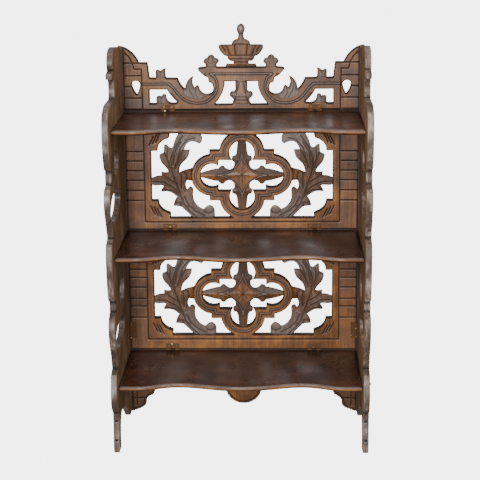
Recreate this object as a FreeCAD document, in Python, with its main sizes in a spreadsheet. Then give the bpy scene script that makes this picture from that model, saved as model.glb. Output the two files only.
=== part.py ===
import FreeCAD, Part
import math
import os
from FreeCAD import Placement, Rotation, Vector

# Carved walnut shelf unit: a fretted back board, two pierced sides and three shelves.
# The shelves fold up against the board on brass butt hinges. Millimetres, Z up,
# the front faces -Y, and the origin is on the floor under the middle of the unit.

os.makedirs("parts", exist_ok=True)
doc = FreeCAD.newDocument("carved_shelf_unit")
sheet = doc.addObject("Spreadsheet::Sheet", "sizes")

driving_sizes = (
    # carcass
    ("inner_width", 430), ("side_thickness", 11.5), ("side_reach", 240),
    ("board_width", 446), ("board_thickness", 13),
    # heights of the shelf tops, and of the crest above the top shelf
    ("bottom_shelf_height", 123), ("middle_shelf_height", 357),
    ("top_shelf_height", 579), ("crest_height", 120),
    # shelves
    ("shelf_thickness", 9), ("shelf_depth", 207), ("shelf_scoop", 19),
    ("shelf_end_gap", 1.5), ("shelf_back_gap", 0.3),
    # solid margins round the pierced windows of the board, and the drop of their leaves
    ("stile_width", 56), ("upper_rail_below", 24.5), ("upper_rail_above", 39.5),
    ("lower_rail_below", 31.3), ("lower_rail_above", 44.7), ("relief_drop", 1.5),
    ("apron_height", 60), ("pendant_radius", 35), ("pendant_rise", 50),
    # urn on the crest
    ("urn_height", 77), ("urn_width", 81), ("urn_thickness", 11),
    ("dowel_radius", 3), ("dowel_length", 16),
    # butt hinges
    ("leaf_thickness", 1), ("leaf_proud", 0.6), ("leaf_width", 10.5), ("barrel_clearance", 0.3),
    ("leaf_fit", 0.05),
    ("shelf_barrel_radius", 2.2), ("shelf_hinge_length", 25), ("shelf_hinge_offset", 134),
    ("side_barrel_radius", 2), ("side_hinge_length", 31),
    ("lower_side_hinge_rise", 40), ("upper_side_hinge_drop", 27),
    ("knuckle_gap", 0.2), ("hinge_pin_radius", 1), ("running_clearance", 0.05),
    # screws and pegs
    ("screw_head_radius", 2), ("screw_head_depth", 1.1), ("screw_shank_radius", 1),
    ("board_screw_length", 10), ("shelf_screw_length", 7), ("side_screw_length", 9),
    ("peg_radius", 2.5), ("peg_depth", 155), ("peg_inside", 12), ("peg_head_radius", 3.6),
    ("peg_head_length", 6), ("peg_gap", 0.2),
    ("cut_overrun", 1), ("least_edge", 0.001),
)
for row, (alias, value) in enumerate(driving_sizes, start=1):
    sheet.set("A%d" % row, alias)
    sheet.set("B%d" % row, str(value))
    sheet.setAlias("B%d" % row, alias)
doc.recompute()


def size(alias):
    return float(sheet.get(alias))


# Planes and heights that several pieces share
board_face = (size("side_reach") - size("board_thickness")) / 2
board_back = board_face + size("board_thickness")
half_inner = size("inner_width") / 2
half_board = size("board_width") / 2
floor_height = 0.0
crest_top = size("top_shelf_height") + size("crest_height")
shelf_heights = {
    "bottom": size("bottom_shelf_height"),
    "middle": size("middle_shelf_height"),
    "top": size("top_shelf_height"),
}


# Outlines are drawn as strokes: two points make a line, more make a smooth curve

def stroke_curve(points):
    if len(points) == 2:
        return Part.LineSegment(points[0], points[1])
    curve = Part.BSplineCurve()
    curve.interpolate(points)
    return curve


def add_strokes(sketch, strokes):
    for points in strokes:
        sketch.addGeometry(stroke_curve([Vector(a, b, 0) for a, b in points]), False)


def mirrored(strokes):
    return [[(-a, b) for a, b in reversed(points)] for points in reversed(strokes)]


def new_body(name):
    return doc.addObject("PartDesign::Body", name + "_body")


def new_sketch(body, name, role, offset=0.0):
    plane = [item for item in body.Origin.OriginFeatures if item.Role == role][0]
    sketch = body.newObject("Sketcher::SketchObject", name)
    sketch.AttachmentSupport = [(plane, "")]
    sketch.MapMode = "FlatFace"
    sketch.AttachmentOffset = Placement(Vector(0, 0, offset), Rotation())
    return sketch


def pad(body, sketch, name, expression):
    feature = body.newObject("PartDesign::Pad", name)
    feature.Profile = sketch
    feature.setExpression("Length", expression)


pockets = []


def pocket(body, sketch, name, expression):
    """Cut along the same way that a pad on this sketch would grow."""
    feature = body.newObject("PartDesign::Pocket", name)
    feature.Profile = sketch
    feature.setExpression("Length", expression)
    feature.Reversed = True
    pockets.append(feature)


nodes = []


def finish_node(item, label):
    item.Label = label
    nodes.append(item)
    return item


# Shares of the carver's squared template for one window, from the window's middle:
# so many squares to its side and to its top
fret_aside_share = 167
fret_up_share = 79

# A quarter of the window, from its side to its top, with the stepped bracket in the corner
window_shares = [
    [(167, 0), (167, 46)],
    [(167, 46), (155, 46)],
    [(155, 46), (151, 59), (143, 66), (135.5, 69)],
    [(135.5, 69), (133.5, 71), (133.5, 79)],
    [(133.5, 79), (0, 79)],
]

scroll_shares = [
    [(51, -80), (51, -68)],
    [(51, -68), (54.5, -61), (59.5, -58), (66.5, -60), (71.5, -65)],
    [(71.5, -65), (76.5, -63.5), (84.5, -57), (89, -50), (91, -41.5), (90.5, -30.5)],
    [(90.5, -30.5), (92.5, -24.5), (95.5, -23), (98.5, -24), (101.5, -28)],
    [(101.5, -28), (104.5, -20), (103.5, -14), (101, -8), (103, 3), (109, 6.5), (116, 4)],
    [(116, 4), (114.5, 14), (111.5, 20.5), (104.5, 27.5), (99.5, 33.5), (96.5, 41), (95.5, 47)],
    [(95.5, 47), (106.5, 47)],
    [(106.5, 47), (104.5, 52), (101, 58), (95.5, 62), (88.5, 62.5), (82.5, 60.5), (78, 58.5)],
    [(78, 58.5), (74, 61.5), (72.5, 68), (75, 75), (82, 80)],
    [(82, 80), (115, 80)],
    [(115, 80), (121.5, 69), (124.5, 61.5), (127, 54), (129.5, 50.5)],
    [(129.5, 50.5), (134.5, 52.5), (139.5, 56.5), (143, 56.5)],
    [(143, 56.5), (143.5, 50), (144, 42)],
    [(144, 42), (148, 40), (152, 38)],
    [(152, 38), (152, 34), (149, 25), (143.5, 18), (138.5, 12), (136, 5.5)],
    [(136, 5.5), (142.5, 4.5), (149, 6)],
    [(149, 6), (149, 2.5), (148.5, -1.5)],
    [(148.5, -1.5), (156.5, -2), (163.5, -4), (169, -7)],
    [(169, -7), (169, -16)],
    [(169, -16), (164.5, -19), (158.5, -19.5), (149.5, -19), (146.5, -19.5)],
    [(146.5, -19.5), (147, -24), (150, -29), (148.5, -31.5)],
    [(148.5, -31.5), (141.5, -30.5), (134.5, -31.5), (126.5, -36), (120, -41)],
    [(120, -41), (123.5, -45), (126.5, -51), (128, -57.5)],
    [(128, -57.5), (121.5, -58.5), (114.5, -59.5), (108.5, -64), (102.5, -70), (92, -80)],
    [(92, -80), (51, -80)],
]

link_shares = [
    [(88, -12), (97, -10), (106, -10)],
    [(106, -10), (110, 0), (112, 6)],
    [(112, 6), (106, 9), (98, 11), (88, 16)],
    [(88, 16), (88, -12)],
]

# Shares for the four-lobed cartouche: lobe centres, radii and the steps between lobes
LOBE_STEPS = 12
lobe_aside_share = 55
lobe_up_share = 41
outer_lobe_share = 39
outer_tall_lobe_share = 42
inner_lobe_share = 21.5
inner_tall_lobe_share = 23
outer_step_shares = ((60, 47.7), (42, 47.7))
inner_step_shares = ((43.5, 28), (25, 28))

star_shares = [
    [(80, 2), (70, 5.5), (61, 8), (51, 10.5), (43.5, 11.5)],
    [(43.5, 11.5), (40, 15.5), (36, 16.8), (32, 14)],
    [(32, 14), (27, 10.5), (21.5, 9.8), (16.5, 13), (14.2, 19.5), (15, 25.5)],
    [(15, 25.5), (18.8, 30), (17.5, 34), (13, 35.5)],
    [(13, 35.5), (10.5, 40), (9.3, 49), (8.5, 57), (7, 68)],
]

# Shares of the crest's template: squares out to the board's edge, and squares up from
# the top shelf to the tips of the crest
board_aside_share = 223
crest_up_share = 120

crest_shares = [
    [(223, 118), (222.5, 120)],
    [(222.5, 120), (213, 118), (203, 112.5), (193, 103), (185.5, 90)],
    [(185.5, 90), (170, 90)],
    [(170, 90), (166.5, 62.5)],
    [(166.5, 62.5), (155.5, 62)],
    [(155.5, 62), (155.5, 74.5)],
    [(155.5, 74.5), (151, 76), (147, 74.5), (143, 77), (137, 77.5)],
    [(137, 77.5), (138, 71), (136.5, 62)],
    [(136.5, 62), (115.5, 61.5)],
    [(115.5, 61.5), (111.5, 52.5), (107.5, 46.5), (102.5, 41.5)],
    [(102.5, 41.5), (101.5, 48), (97, 57), (92.5, 61.5), (86, 64.5)],
    [(86, 64.5), (88.3, 59), (89, 54), (87.5, 48), (85.5, 43.5)],
    [(85.5, 43.5), (83, 46), (80, 47.5), (77.5, 45.5), (76, 41.5)],
    [(76, 41.5), (73.5, 37), (69.5, 33.5), (62.5, 32), (56, 33.5), (52, 37.5)],
    [(52, 37.5), (51, 44), (52.5, 50), (55.5, 53)],
    [(55.5, 53), (59.5, 54.5), (60, 58.5), (63, 62.5)],
    [(63, 62.5), (70, 67), (75, 72.5), (78.5, 78), (76, 80.5)],
    [(76, 80.5), (65, 81.5)],
    [(65, 81.5), (65, 86), (68.3, 90), (66.5, 94.5), (61.5, 97)],
    [(61.5, 97), (58.5, 101.5), (54.5, 103), (50.5, 101.5), (47.5, 97)],
    [(47.5, 97), (42.5, 95.5), (40, 91), (43.5, 86.5), (43.5, 81.5)],
    [(43.5, 81.5), (0, 81.5)],
]

arm_opening_shares = [
    [(167, 15.5), (167, 40.5)],
    [(167, 40.5), (135, 40.5)],
    [(135, 40.5), (131.5, 34), (125.5, 26), (117, 17)],
    [(117, 17), (125, 16), (132, 18), (136, 23), (137, 28)],
    [(137, 28), (140, 31.5), (143.5, 31), (146, 27.5)],
    [(146, 27.5), (150, 28.5), (155, 27)],
    [(155, 27), (155.5, 15.5)],
    [(155.5, 15.5), (167, 15.5)],
]

middle_opening_shares = [
    [(9.5, 55), (30.5, 55)],
    [(30.5, 55), (30.5, 46), (33, 37.5), (37.5, 28), (47.5, 14)],
    [(47.5, 14), (17.5, 14)],
    [(17.5, 14), (15.5, 18), (15, 22), (17.5, 25), (21, 28.5), (20.5, 34), (16.5, 36.5)],
    [(16.5, 36.5), (12.5, 37), (11, 43), (9.5, 55)],
]

pear_shares = [
    [(199, 49), (197, 54.5), (191.5, 56.5), (186, 54.5), (184, 49)],
    [(184, 49), (186, 41.5), (190.5, 32)],
    [(190.5, 32), (196.5, 41.5), (199, 49)],
]
crest_rail_share = 81.5

# Shares of the board's foot: squares out to the edge, and squares up to the bottom shelf
foot_up_share = 123
foot_shares = [
    [(167, 60), (169.5, 41)],
    [(169.5, 41), (172.5, 34)],
    [(172.5, 34), (179, 30.5), (184.5, 26), (187, 19)],
    [(187, 19), (188.5, 12), (195, 6.5), (204, 2.5), (211, 0)],
    [(211, 0), (223, 0)],
]

# Shares of a side's outline: storey, squares in front of the board, squares up in the storey
side_deep_share = 240
storey_up_shares = (123, 234, 222, 120)
side_shares = [
    [(0, 0, 0), (0, 22, 0)],
    [(0, 22, 0), (0, 42, 14), (0, 80, 37), (0, 122, 54), (0, 155, 60)],
    [(0, 155, 60), (0, 172, 54), (0, 181, 36), (0, 184, 0)],
    [(0, 184, 0), (0, 208, 0)],
    [(0, 208, 0), (0, 205, 34), (0, 203, 58), (0, 207, 76)],
    [(0, 207, 76), (0, 221, 86), (0, 228, 102), (0, 227, 118), (1, 219, 26)],
    [(1, 219, 26), (1, 198, 32)],
    [(1, 198, 32), (1, 203, 48), (1, 213, 66), (1, 226, 88), (1, 230, 106), (1, 222, 131)],
    [(1, 222, 131), (1, 204, 138)],
    [(1, 204, 138), (1, 204, 154)],
    [(1, 204, 154), (1, 220, 161)],
    [(1, 220, 161), (1, 229, 182), (1, 234, 206), (2, 236, 4), (2, 229, 30)],
    [(2, 229, 30), (2, 208, 36)],
    [(2, 208, 36), (2, 214, 50), (2, 226, 68), (2, 238, 92), (2, 238, 112), (2, 232, 125)],
    [(2, 232, 125), (2, 209, 130)],
    [(2, 209, 130), (2, 209, 152)],
    [(2, 209, 152), (2, 222, 157)],
    [(2, 222, 157), (2, 234, 178), (2, 240, 206), (3, 238, 14), (3, 230, 32)],
    [(3, 230, 32), (3, 202, 43)],
    [(3, 202, 43), (3, 134, 43)],
    [(3, 134, 43), (3, 127, 56), (3, 130, 70), (3, 144, 80)],
    [(3, 144, 80), (3, 162, 80)],
    [(3, 162, 80), (3, 163, 90)],
    [(3, 163, 90), (3, 139, 93)],
    [(3, 139, 93), (3, 145, 105), (3, 140, 118), (3, 124, 127), (3, 100, 129)],
    [(3, 100, 129), (3, 50, 124), (3, 0, 116)],
    [(3, 0, 116), (0, 0, 0)],
]

# Shares of a side's oval piercings: the middle of each, then its reach to either side
piercing_shares = [
    ((2, 161, 84), (70, 25.5)),
    ((2, 133, 154), (33, 21)),
    ((1, 147, 83), (67, 23)),
    ((1, 105, 149), (36, 27)),
]

# Shares of the shelf's scoop along its front: squares from the middle, share of the scoop
shelf_aside_share = 213.5
scoop_shares = [(180, 0), (165, 0.12), (148, 0.5), (128, 0.88), (110, 1), (88, 0.88),
                (64, 0.56), (42, 0.25), (22, 0.06), (0, 0)]

# Shares of the urn's half outline: squares from its middle, squares up from its seat
urn_aside_share = 40.5
urn_up_share = 77
urn_shares = [
    [(0, 0), (28, 0)],
    [(28, 0), (28, 1.5), (26, 5)],
    [(26, 5), (14.5, 5)],
    [(14.5, 5), (13.6, 7.5), (14.5, 10)],
    [(14.5, 10), (20.5, 11), (23.5, 14), (24.8, 18.5)],
    [(24.8, 18.5), (31.5, 21.5), (37, 27.5), (40, 33), (40.5, 37.5)],
    [(40.5, 37.5), (38, 39.8)],
    [(38, 39.8), (16.5, 40)],
    [(16.5, 40), (15.7, 44.5), (12.5, 47.5), (6.5, 50)],
    [(6.5, 50), (5, 55), (5.4, 61)],
    [(5.4, 61), (7.4, 66.5), (5.8, 73.5), (0, 77)],
]


# Where the screws stand along a hinge leaf, and how much of the dowel is in the rail
leaf_screw_shares = (0.22, 0.78)
dowel_sunk_share = 0.6


# Each window fills the board between its margins: its middle, and its squares' sizes
fret_half_width = half_board - size("stile_width")
frets = []
for bay, below, above in (("lower", "bottom", "middle"), ("upper", "middle", "top")):
    low = shelf_heights[below] + size(bay + "_rail_below")
    high = shelf_heights[above] - size(bay + "_rail_above")
    frets.append(((low + high) / 2, fret_half_width / fret_aside_share,
                  (high - low) / 2 / fret_up_share))


def fret_point(place, fret):
    middle, square_width, square_height = fret
    return (place[0] * square_width, middle + place[1] * square_height)


def fret_strokes(shares, fret, flip=False):
    sign = -1 if flip else 1
    return [[fret_point((a, sign * b), fret) for a, b in points] for points in shares]


def crest_point(place):
    across = place[0] * half_board / board_aside_share
    up = place[1] * size("crest_height") / crest_up_share
    return (across, size("top_shelf_height") + up)


def foot_point(place):
    across = place[0] * half_board / board_aside_share
    up = place[1] * size("bottom_shelf_height") / foot_up_share
    return (across, up)


urn_seat = crest_point((0, crest_rail_share))[1]
storey_heights = (floor_height, size("bottom_shelf_height"), size("middle_shelf_height"),
                  size("top_shelf_height"), crest_top)


def side_point(place):
    storey, deep, up = place
    rise = storey_heights[storey + 1] - storey_heights[storey]
    front = board_face - deep * size("side_reach") / side_deep_share
    return (front, storey_heights[storey] + up * rise / storey_up_shares[storey])


# Back board: one wide walnut board, sawn out and pierced, with its carving left in it

def lobe(centre, radius_share, half_turn, middle_turn, fret):
    """A round lobe of the template, drawn out with the window: half_turn each side of
    middle_turn, both counted from the side in radians."""
    points = []
    for step in range(LOBE_STEPS + 1):
        turn = middle_turn + half_turn * (2 * step / LOBE_STEPS - 1)
        points.append(fret_point((centre[0] + radius_share * math.cos(turn),
                                  centre[1] + radius_share * math.sin(turn)), fret))
    return points


def cartouche_outline(fret, lobe_share, tall_lobe_share, step_shares):
    """One closed outline of four round lobes with stepped corners between them."""
    (step_out, step_up), (step_in, same_up) = step_shares
    half_turn = math.acos((step_out - lobe_aside_share) / lobe_share)
    tall_half_turn = math.acos((same_up - lobe_up_share) / tall_lobe_share)
    side_lobe = lobe((lobe_aside_share, 0), lobe_share, half_turn, 0, fret)
    top_lobe = lobe((0, lobe_up_share), tall_lobe_share, tall_half_turn, math.pi / 2, fret)
    low_lobe = lobe((0, -lobe_up_share), tall_lobe_share, tall_half_turn, -math.pi / 2, fret)
    strokes = [side_lobe]
    for sign, start, end in ((1, side_lobe[-1], top_lobe[0]), (-1, side_lobe[0], low_lobe[-1])):
        corner = [start] + [fret_point((across, sign * up), fret)
                            for across, up in step_shares] + [end]
        strokes += [pair for pair in zip(corner, corner[1:])
                    if math.dist(*pair) > size("least_edge")]
    return strokes + mirrored(strokes) + [top_lobe, low_lobe]


def build_board():
    body = new_body("back_board")
    # Each sketch plane looks along -Y from the board's back, so the pads grow forwards
    outline = new_sketch(body, "board_outline", "XZ_Plane", -board_back)
    half = [[crest_point(place) for place in points] for points in crest_shares]
    foot = [[foot_point(place) for place in points] for points in foot_shares]
    apron = size("apron_height")
    foot[0][0] = (foot[0][0][0], apron)
    pendant = size("pendant_radius")
    pendant_half = math.sqrt(pendant ** 2 - (apron - size("pendant_rise")) ** 2)
    right = [[(pendant_half, apron), foot[0][0]]] + foot + [[foot[-1][-1], half[0][0]]] + half
    add_strokes(outline, right + mirrored(right))
    outline.addGeometry(Part.Arc(Vector(-pendant_half, apron, 0),
                                 Vector(0, size("pendant_rise") - pendant, 0),
                                 Vector(pendant_half, apron, 0)), False)
    pad(body, outline, "board_pad", "sizes.board_thickness")

    openings = new_sketch(body, "openings", "XZ_Plane", -board_back)
    for fret in frets:
        quarter = fret_strokes(window_shares, fret)
        below = mirrored([[(-a, b) for a, b in points]
                          for points in fret_strokes(window_shares, fret, True)])
        half_ring = below + quarter
        add_strokes(openings, half_ring + mirrored(half_ring))
    for shares in (arm_opening_shares, middle_opening_shares):
        opening = [[crest_point(place) for place in points] for points in shares]
        add_strokes(openings, opening + mirrored(opening))
    hole = [[crest_point(place) for place in points] for points in pear_shares]
    add_strokes(openings, hole + mirrored(hole))
    pocket(body, openings, "openings_pocket", "sizes.board_thickness")

    bands = new_sketch(body, "bands", "XZ_Plane", -board_back)
    leaves = new_sketch(body, "leaves", "XZ_Plane", -board_back)
    links = new_sketch(body, "links", "XZ_Plane", -board_back)
    for fret in frets:
        add_strokes(bands, cartouche_outline(fret, outer_lobe_share, outer_tall_lobe_share,
                                             outer_step_shares))
        add_strokes(bands, cartouche_outline(fret, inner_lobe_share, inner_tall_lobe_share,
                                             inner_step_shares))
        scroll = fret_strokes(scroll_shares, fret)
        add_strokes(leaves, scroll + mirrored(scroll))
        quarter = fret_strokes(star_shares, fret)
        below = mirrored([[(-a, b) for a, b in points]
                          for points in fret_strokes(star_shares, fret, True)])
        half_star = below + [[below[-1][-1], quarter[0][0]]] + quarter
        top = quarter[-1][-1]
        low = below[0][0]
        add_strokes(leaves, half_star + mirrored(half_star))
        add_strokes(leaves, [[top, (-top[0], top[1])], [low, (-low[0], low[1])]])
        link = fret_strokes(link_shares, fret)
        add_strokes(links, link + mirrored(link))
    pad(body, bands, "bands_pad", "sizes.board_thickness")
    pad(body, leaves, "leaves_pad", "sizes.board_thickness - sizes.relief_drop")
    pad(body, links, "links_pad", "sizes.board_thickness - sizes.relief_drop")
    return body


# Sides: sawn boards with a stepped and lobed front edge, pierced by two ovals in each bay

def build_side(name, start_x):
    body = new_body(name)
    outline = new_sketch(body, name + "_outline", "YZ_Plane", start_x)
    add_strokes(outline, [[side_point(place) for place in points] for points in side_shares])
    pad(body, outline, name + "_pad", "sizes.side_thickness")
    ovals = new_sketch(body, name + "_ovals", "YZ_Plane", start_x)
    for (storey, deep, up), (half_deep, half_up) in piercing_shares:
        middle = side_point((storey, deep, up))
        reach = side_point((storey, deep - half_deep, up + half_up))
        ovals.addGeometry(Part.Ellipse(Vector(middle[0], middle[1], 0),
                                       reach[0] - middle[0], reach[1] - middle[1]), False)
    pocket(body, ovals, name + "_ovals_pocket", "sizes.side_thickness")
    return body


# Shelves: a flat board whose front is scooped twice between its ends and its middle

def build_shelf(name, top):
    body = new_body(name)
    outline = new_sketch(body, name + "_outline", "XY_Plane", top - size("shelf_thickness"))
    half = half_inner - size("shelf_end_gap")
    back = board_face - size("shelf_back_gap")
    front = board_face - size("shelf_depth")
    scale = half / shelf_aside_share
    wave = [(a * scale, front + b * size("shelf_scoop")) for a, b in scoop_shares]
    right = [[(half, back), (half, front)], [(half, front), wave[0]]]
    add_strokes(outline, [[(-half, back), (half, back)]] + right + mirrored(right))
    add_strokes(outline, [wave + [(-a, b) for a, b in reversed(wave[:-1])]])
    pad(body, outline, name + "_pad", "sizes.shelf_thickness")
    return body


# Urn: sawn from thin board, seated on the crest rail and held by a dowel

def build_urn():
    body = new_body("urn_finial")
    setback = (size("board_thickness") - size("urn_thickness")) / 2
    outline = new_sketch(body, "urn_outline", "XZ_Plane", -(board_back - setback))
    across = size("urn_width") / 2 / urn_aside_share
    up = size("urn_height") / urn_up_share
    half = [[(a * across, urn_seat + b * up) for a, b in points] for points in urn_shares]
    base = half[0][1]
    add_strokes(outline, half[1:] + mirrored(half[1:]) + [[(-base[0], base[1]), base]])
    pad(body, outline, "urn_pad", "sizes.urn_thickness")
    return body


# Screws and their holes: a countersunk head on a plain shank with a point

def screw_shape(length, extra=0.0):
    """A screw along -Z from the top of its head at the origin, grown by a clearance."""
    head = size("screw_head_radius") + extra
    shank = size("screw_shank_radius") + extra
    depth = size("screw_head_depth")
    point = 2 * size("screw_shank_radius")
    profile = [Vector(0, 0, 0), Vector(head, 0, 0), Vector(shank, 0, -depth),
               Vector(shank, 0, point - length), Vector(0, 0, -length - extra)]
    face = Part.Face(Part.makePolygon(profile + profile[:1]))
    return face.revolve(Vector(0, 0, 0), Vector(0, 0, 1), 360)


# Butt hinges. In a leaf's own frame the pin lies along X through the origin, the plate
# runs out along +Y, and the wood it is let into lies below it.

def add_box(name, corner, sides):
    item = doc.addObject("Part::Box", name)
    for side, expression in zip(("Length", "Width", "Height"), sides):
        item.setExpression(side, expression)
    for axis, expression in zip("xyz", corner):
        item.setExpression("Placement.Base." + axis, expression)
    return item


def add_rod(name, start, radius, length):
    item = doc.addObject("Part::Cylinder", name)
    item.Placement = Placement(Vector(0, 0, 0), Rotation(Vector(0, 1, 0), 90))
    item.setExpression("Placement.Base.x", start)
    item.setExpression("Radius", radius)
    item.setExpression("Height", length)
    return item


def shape_item(name, shape):
    item = doc.addObject("Part::Feature", name)
    item.Shape = shape
    return item


def leaf_screws(kind):
    """Places of a leaf's screws in its own frame, at the top of the plate."""
    barrel = size(kind + "_barrel_radius") + size("barrel_clearance")
    middle = (barrel + size("leaf_width")) / 2
    top = size("leaf_proud") - barrel
    length = size(kind + "_hinge_length")
    return [Vector(length * share, middle, top) for share in leaf_screw_shares]


def add_leaf(name, kind, knuckles, place):
    barrel = "sizes.%s_barrel_radius" % kind
    standoff = "(%s + sizes.barrel_clearance)" % barrel
    length = "sizes.%s_hinge_length" % kind
    under = "-%s - sizes.leaf_thickness + sizes.leaf_proud" % standoff
    pitch = "(%s + sizes.knuckle_gap) / 3" % length
    wide = "%s - sizes.knuckle_gap" % pitch
    solids = [add_box(name + "_plate", ("0", standoff, under),
                      (length, "sizes.leaf_width - " + standoff, "sizes.leaf_thickness"))]
    for knuckle in knuckles:
        start = "%d * %s" % (knuckle, pitch)
        solids.append(add_box("%s_tongue_%d" % (name, knuckle), (start, "0", under),
                              (wide, standoff, "sizes.leaf_thickness")))
        solids.append(add_rod("%s_barrel_%d" % (name, knuckle), start, barrel, wide))
    whole = doc.addObject("Part::MultiFuse", name + "_whole")
    whole.Shapes = solids
    bore = add_rod(name + "_bore", "-sizes.cut_overrun",
                   "sizes.hinge_pin_radius + sizes.running_clearance",
                   length + " + 2 * sizes.cut_overrun")
    holes = shape_item(name + "_holes", Part.makeCompound(
        [screw_shape(size("side_screw_length"), size("leaf_fit")).translated(spot)
         for spot in leaf_screws(kind)]))
    bored = doc.addObject("Part::Cut", name + "_bored")
    bored.Base = whole
    bored.Tool = bore
    leaf = doc.addObject("Part::Cut", name + "_leaf")
    leaf.Base = bored
    leaf.Tool = holes
    leaf.Placement = place
    return finish_node(leaf, name)


def add_pin(name, kind, place):
    pin = doc.addObject("Part::Cylinder", name + "_rod")
    pin.setExpression("Radius", "sizes.hinge_pin_radius")
    pin.setExpression("Height", "sizes.%s_hinge_length" % kind)
    pin.Placement = place.multiply(Placement(Vector(0, 0, 0), Rotation(Vector(0, 1, 0), 90)))
    return finish_node(pin, name)


def moved(shape, place):
    result = shape.copy()
    result.Placement = place.multiply(result.Placement)
    return result


def mortise(kind, place):
    """The shallow housing that a leaf is let into, with its screw holes left to others."""
    standoff = size(kind + "_barrel_radius") + size("barrel_clearance")
    fit = size("leaf_fit")
    depth = size("leaf_thickness") - size("leaf_proud")
    housing = Part.makeBox(size(kind + "_hinge_length") + 2 * fit, size("leaf_width") + 2 * fit,
                           depth + size("cut_overrun"), Vector(-fit, -fit, -standoff - depth))
    return moved(housing, place)


def leaf_screw_shapes(kind, length, place, extra=0.0):
    return [moved(screw_shape(length, extra).translated(spot), place)
            for spot in leaf_screws(kind)]


def turned(origin, along, outwards):
    """A placement whose X runs along the pin and whose Z points out of the wood."""
    across = outwards.cross(along)
    matrix = FreeCAD.Matrix(along.x, across.x, outwards.x, origin.x,
                            along.y, across.y, outwards.y, origin.y,
                            along.z, across.z, outwards.z, origin.z)
    return Placement(matrix)


def cut_wood(body, name, tools):
    tool = shape_item(name + "_cutters", Part.makeCompound(tools))
    result = doc.addObject("Part::Cut", name + "_cut")
    result.Base = body
    result.Tool = tool
    return finish_node(result, name)


def add_group(name, shapes):
    return finish_node(shape_item(name + "_group", Part.makeCompound(shapes)), name)


board_tools = []
side_tools = {"left": [], "right": []}
shelf_tools = {}
forwards = Vector(0, -1, 0)
upwards = Vector(0, 0, 1)
rightwards = Vector(1, 0, 0)
hole_fit = size("leaf_fit")

# Shelf hinges: two to a shelf, with the pin in the corner above the shelf's back edge
shelf_standoff = size("shelf_barrel_radius") + size("barrel_clearance")
shelf_board_screws = []
for shelf, top in shelf_heights.items():
    shelf_tools[shelf] = []
    shelf_screws = []
    for side, sign in (("left", -1), ("right", 1)):
        name = "shelf_%s_hinge_%s" % (shelf, side)
        start = sign * size("shelf_hinge_offset") - size("shelf_hinge_length") / 2
        corner = Vector(start, board_face - shelf_standoff, top + shelf_standoff)
        far = corner + rightwards * size("shelf_hinge_length")
        on_board = turned(corner, rightwards, forwards)
        on_shelf = turned(far, rightwards * -1, upwards)
        add_leaf(name + "_board_leaf", "shelf", (0, 2), on_board)
        add_leaf(name + "_shelf_leaf", "shelf", (1,), on_shelf)
        add_pin(name + "_pin", "shelf", on_board)
        board_tools.append(mortise("shelf", on_board))
        shelf_tools[shelf].append(mortise("shelf", on_shelf))
        shelf_board_screws += leaf_screw_shapes("shelf", size("board_screw_length"), on_board)
        board_tools += leaf_screw_shapes("shelf", size("board_screw_length"), on_board, hole_fit)
        shelf_screws += leaf_screw_shapes("shelf", size("shelf_screw_length"), on_shelf)
        shelf_tools[shelf] += leaf_screw_shapes("shelf", size("shelf_screw_length"), on_shelf,
                                                hole_fit)
    add_group("shelf_%s_screws" % shelf, shelf_screws)
add_group("shelf_hinge_board_screws", shelf_board_screws)

# Side hinges: two to a side, upright in the inner corner between the side and the board
side_standoff = size("side_barrel_radius") + size("barrel_clearance")
hinge_bottoms = {
    "lower": shelf_heights["bottom"] + size("lower_side_hinge_rise") - size("side_hinge_length") / 2,
    "upper": shelf_heights["top"] - size("upper_side_hinge_drop") - size("side_hinge_length") / 2,
}
side_board_screws = []
for side, sign in (("left", -1), ("right", 1)):
    side_screws = []
    for level, bottom in hinge_bottoms.items():
        name = "side_%s_hinge_%s" % (side, level)
        low = Vector(sign * (half_inner - side_standoff), board_face - side_standoff, bottom)
        high = low + upwards * size("side_hinge_length")
        inwards = rightwards * -sign
        # The pin's direction is chosen so that each plate runs away from the corner
        if sign > 0:
            on_board = turned(low, upwards, forwards)
            on_side = turned(high, upwards * -1, inwards)
        else:
            on_board = turned(high, upwards * -1, forwards)
            on_side = turned(low, upwards, inwards)
        add_leaf(name + "_board_leaf", "side", (0, 2), on_board)
        add_leaf(name + "_side_leaf", "side", (1,), on_side)
        add_pin(name + "_pin", "side", on_board)
        board_tools.append(mortise("side", on_board))
        side_tools[side].append(mortise("side", on_side))
        side_board_screws += leaf_screw_shapes("side", size("board_screw_length"), on_board)
        board_tools += leaf_screw_shapes("side", size("board_screw_length"), on_board, hole_fit)
        side_screws += leaf_screw_shapes("side", size("side_screw_length"), on_side)
        side_tools[side] += leaf_screw_shapes("side", size("side_screw_length"), on_side,
                                              hole_fit)
    add_group("side_%s_screws" % side, side_screws)
add_group("side_hinge_board_screws", side_board_screws)


# Pegs: pushed through each side from outside, just under each shelf

def peg_shape():
    """A peg along +X whose domed head stands out at -X from the origin."""
    radius = size("peg_radius")
    head = size("peg_head_radius")
    knob = size("peg_head_length")
    length = size("side_thickness") + size("peg_inside")
    middle = Vector(head - knob, 0, 0)
    slant = head / math.sqrt(2)
    dome = Part.Arc(middle + Vector(0, head, 0), middle + Vector(-slant, slant, 0),
                    Vector(-knob, 0, 0))
    outline = Part.makePolygon([Vector(-knob, 0, 0), Vector(length, 0, 0),
                                Vector(length, radius, 0), Vector(0, radius, 0),
                                Vector(0, head, 0), middle + Vector(0, head, 0)])
    face = Part.Face(Part.Wire(outline.Edges + [dome.toShape()]))
    return face.revolve(Vector(0, 0, 0), Vector(1, 0, 0), 360)


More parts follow.
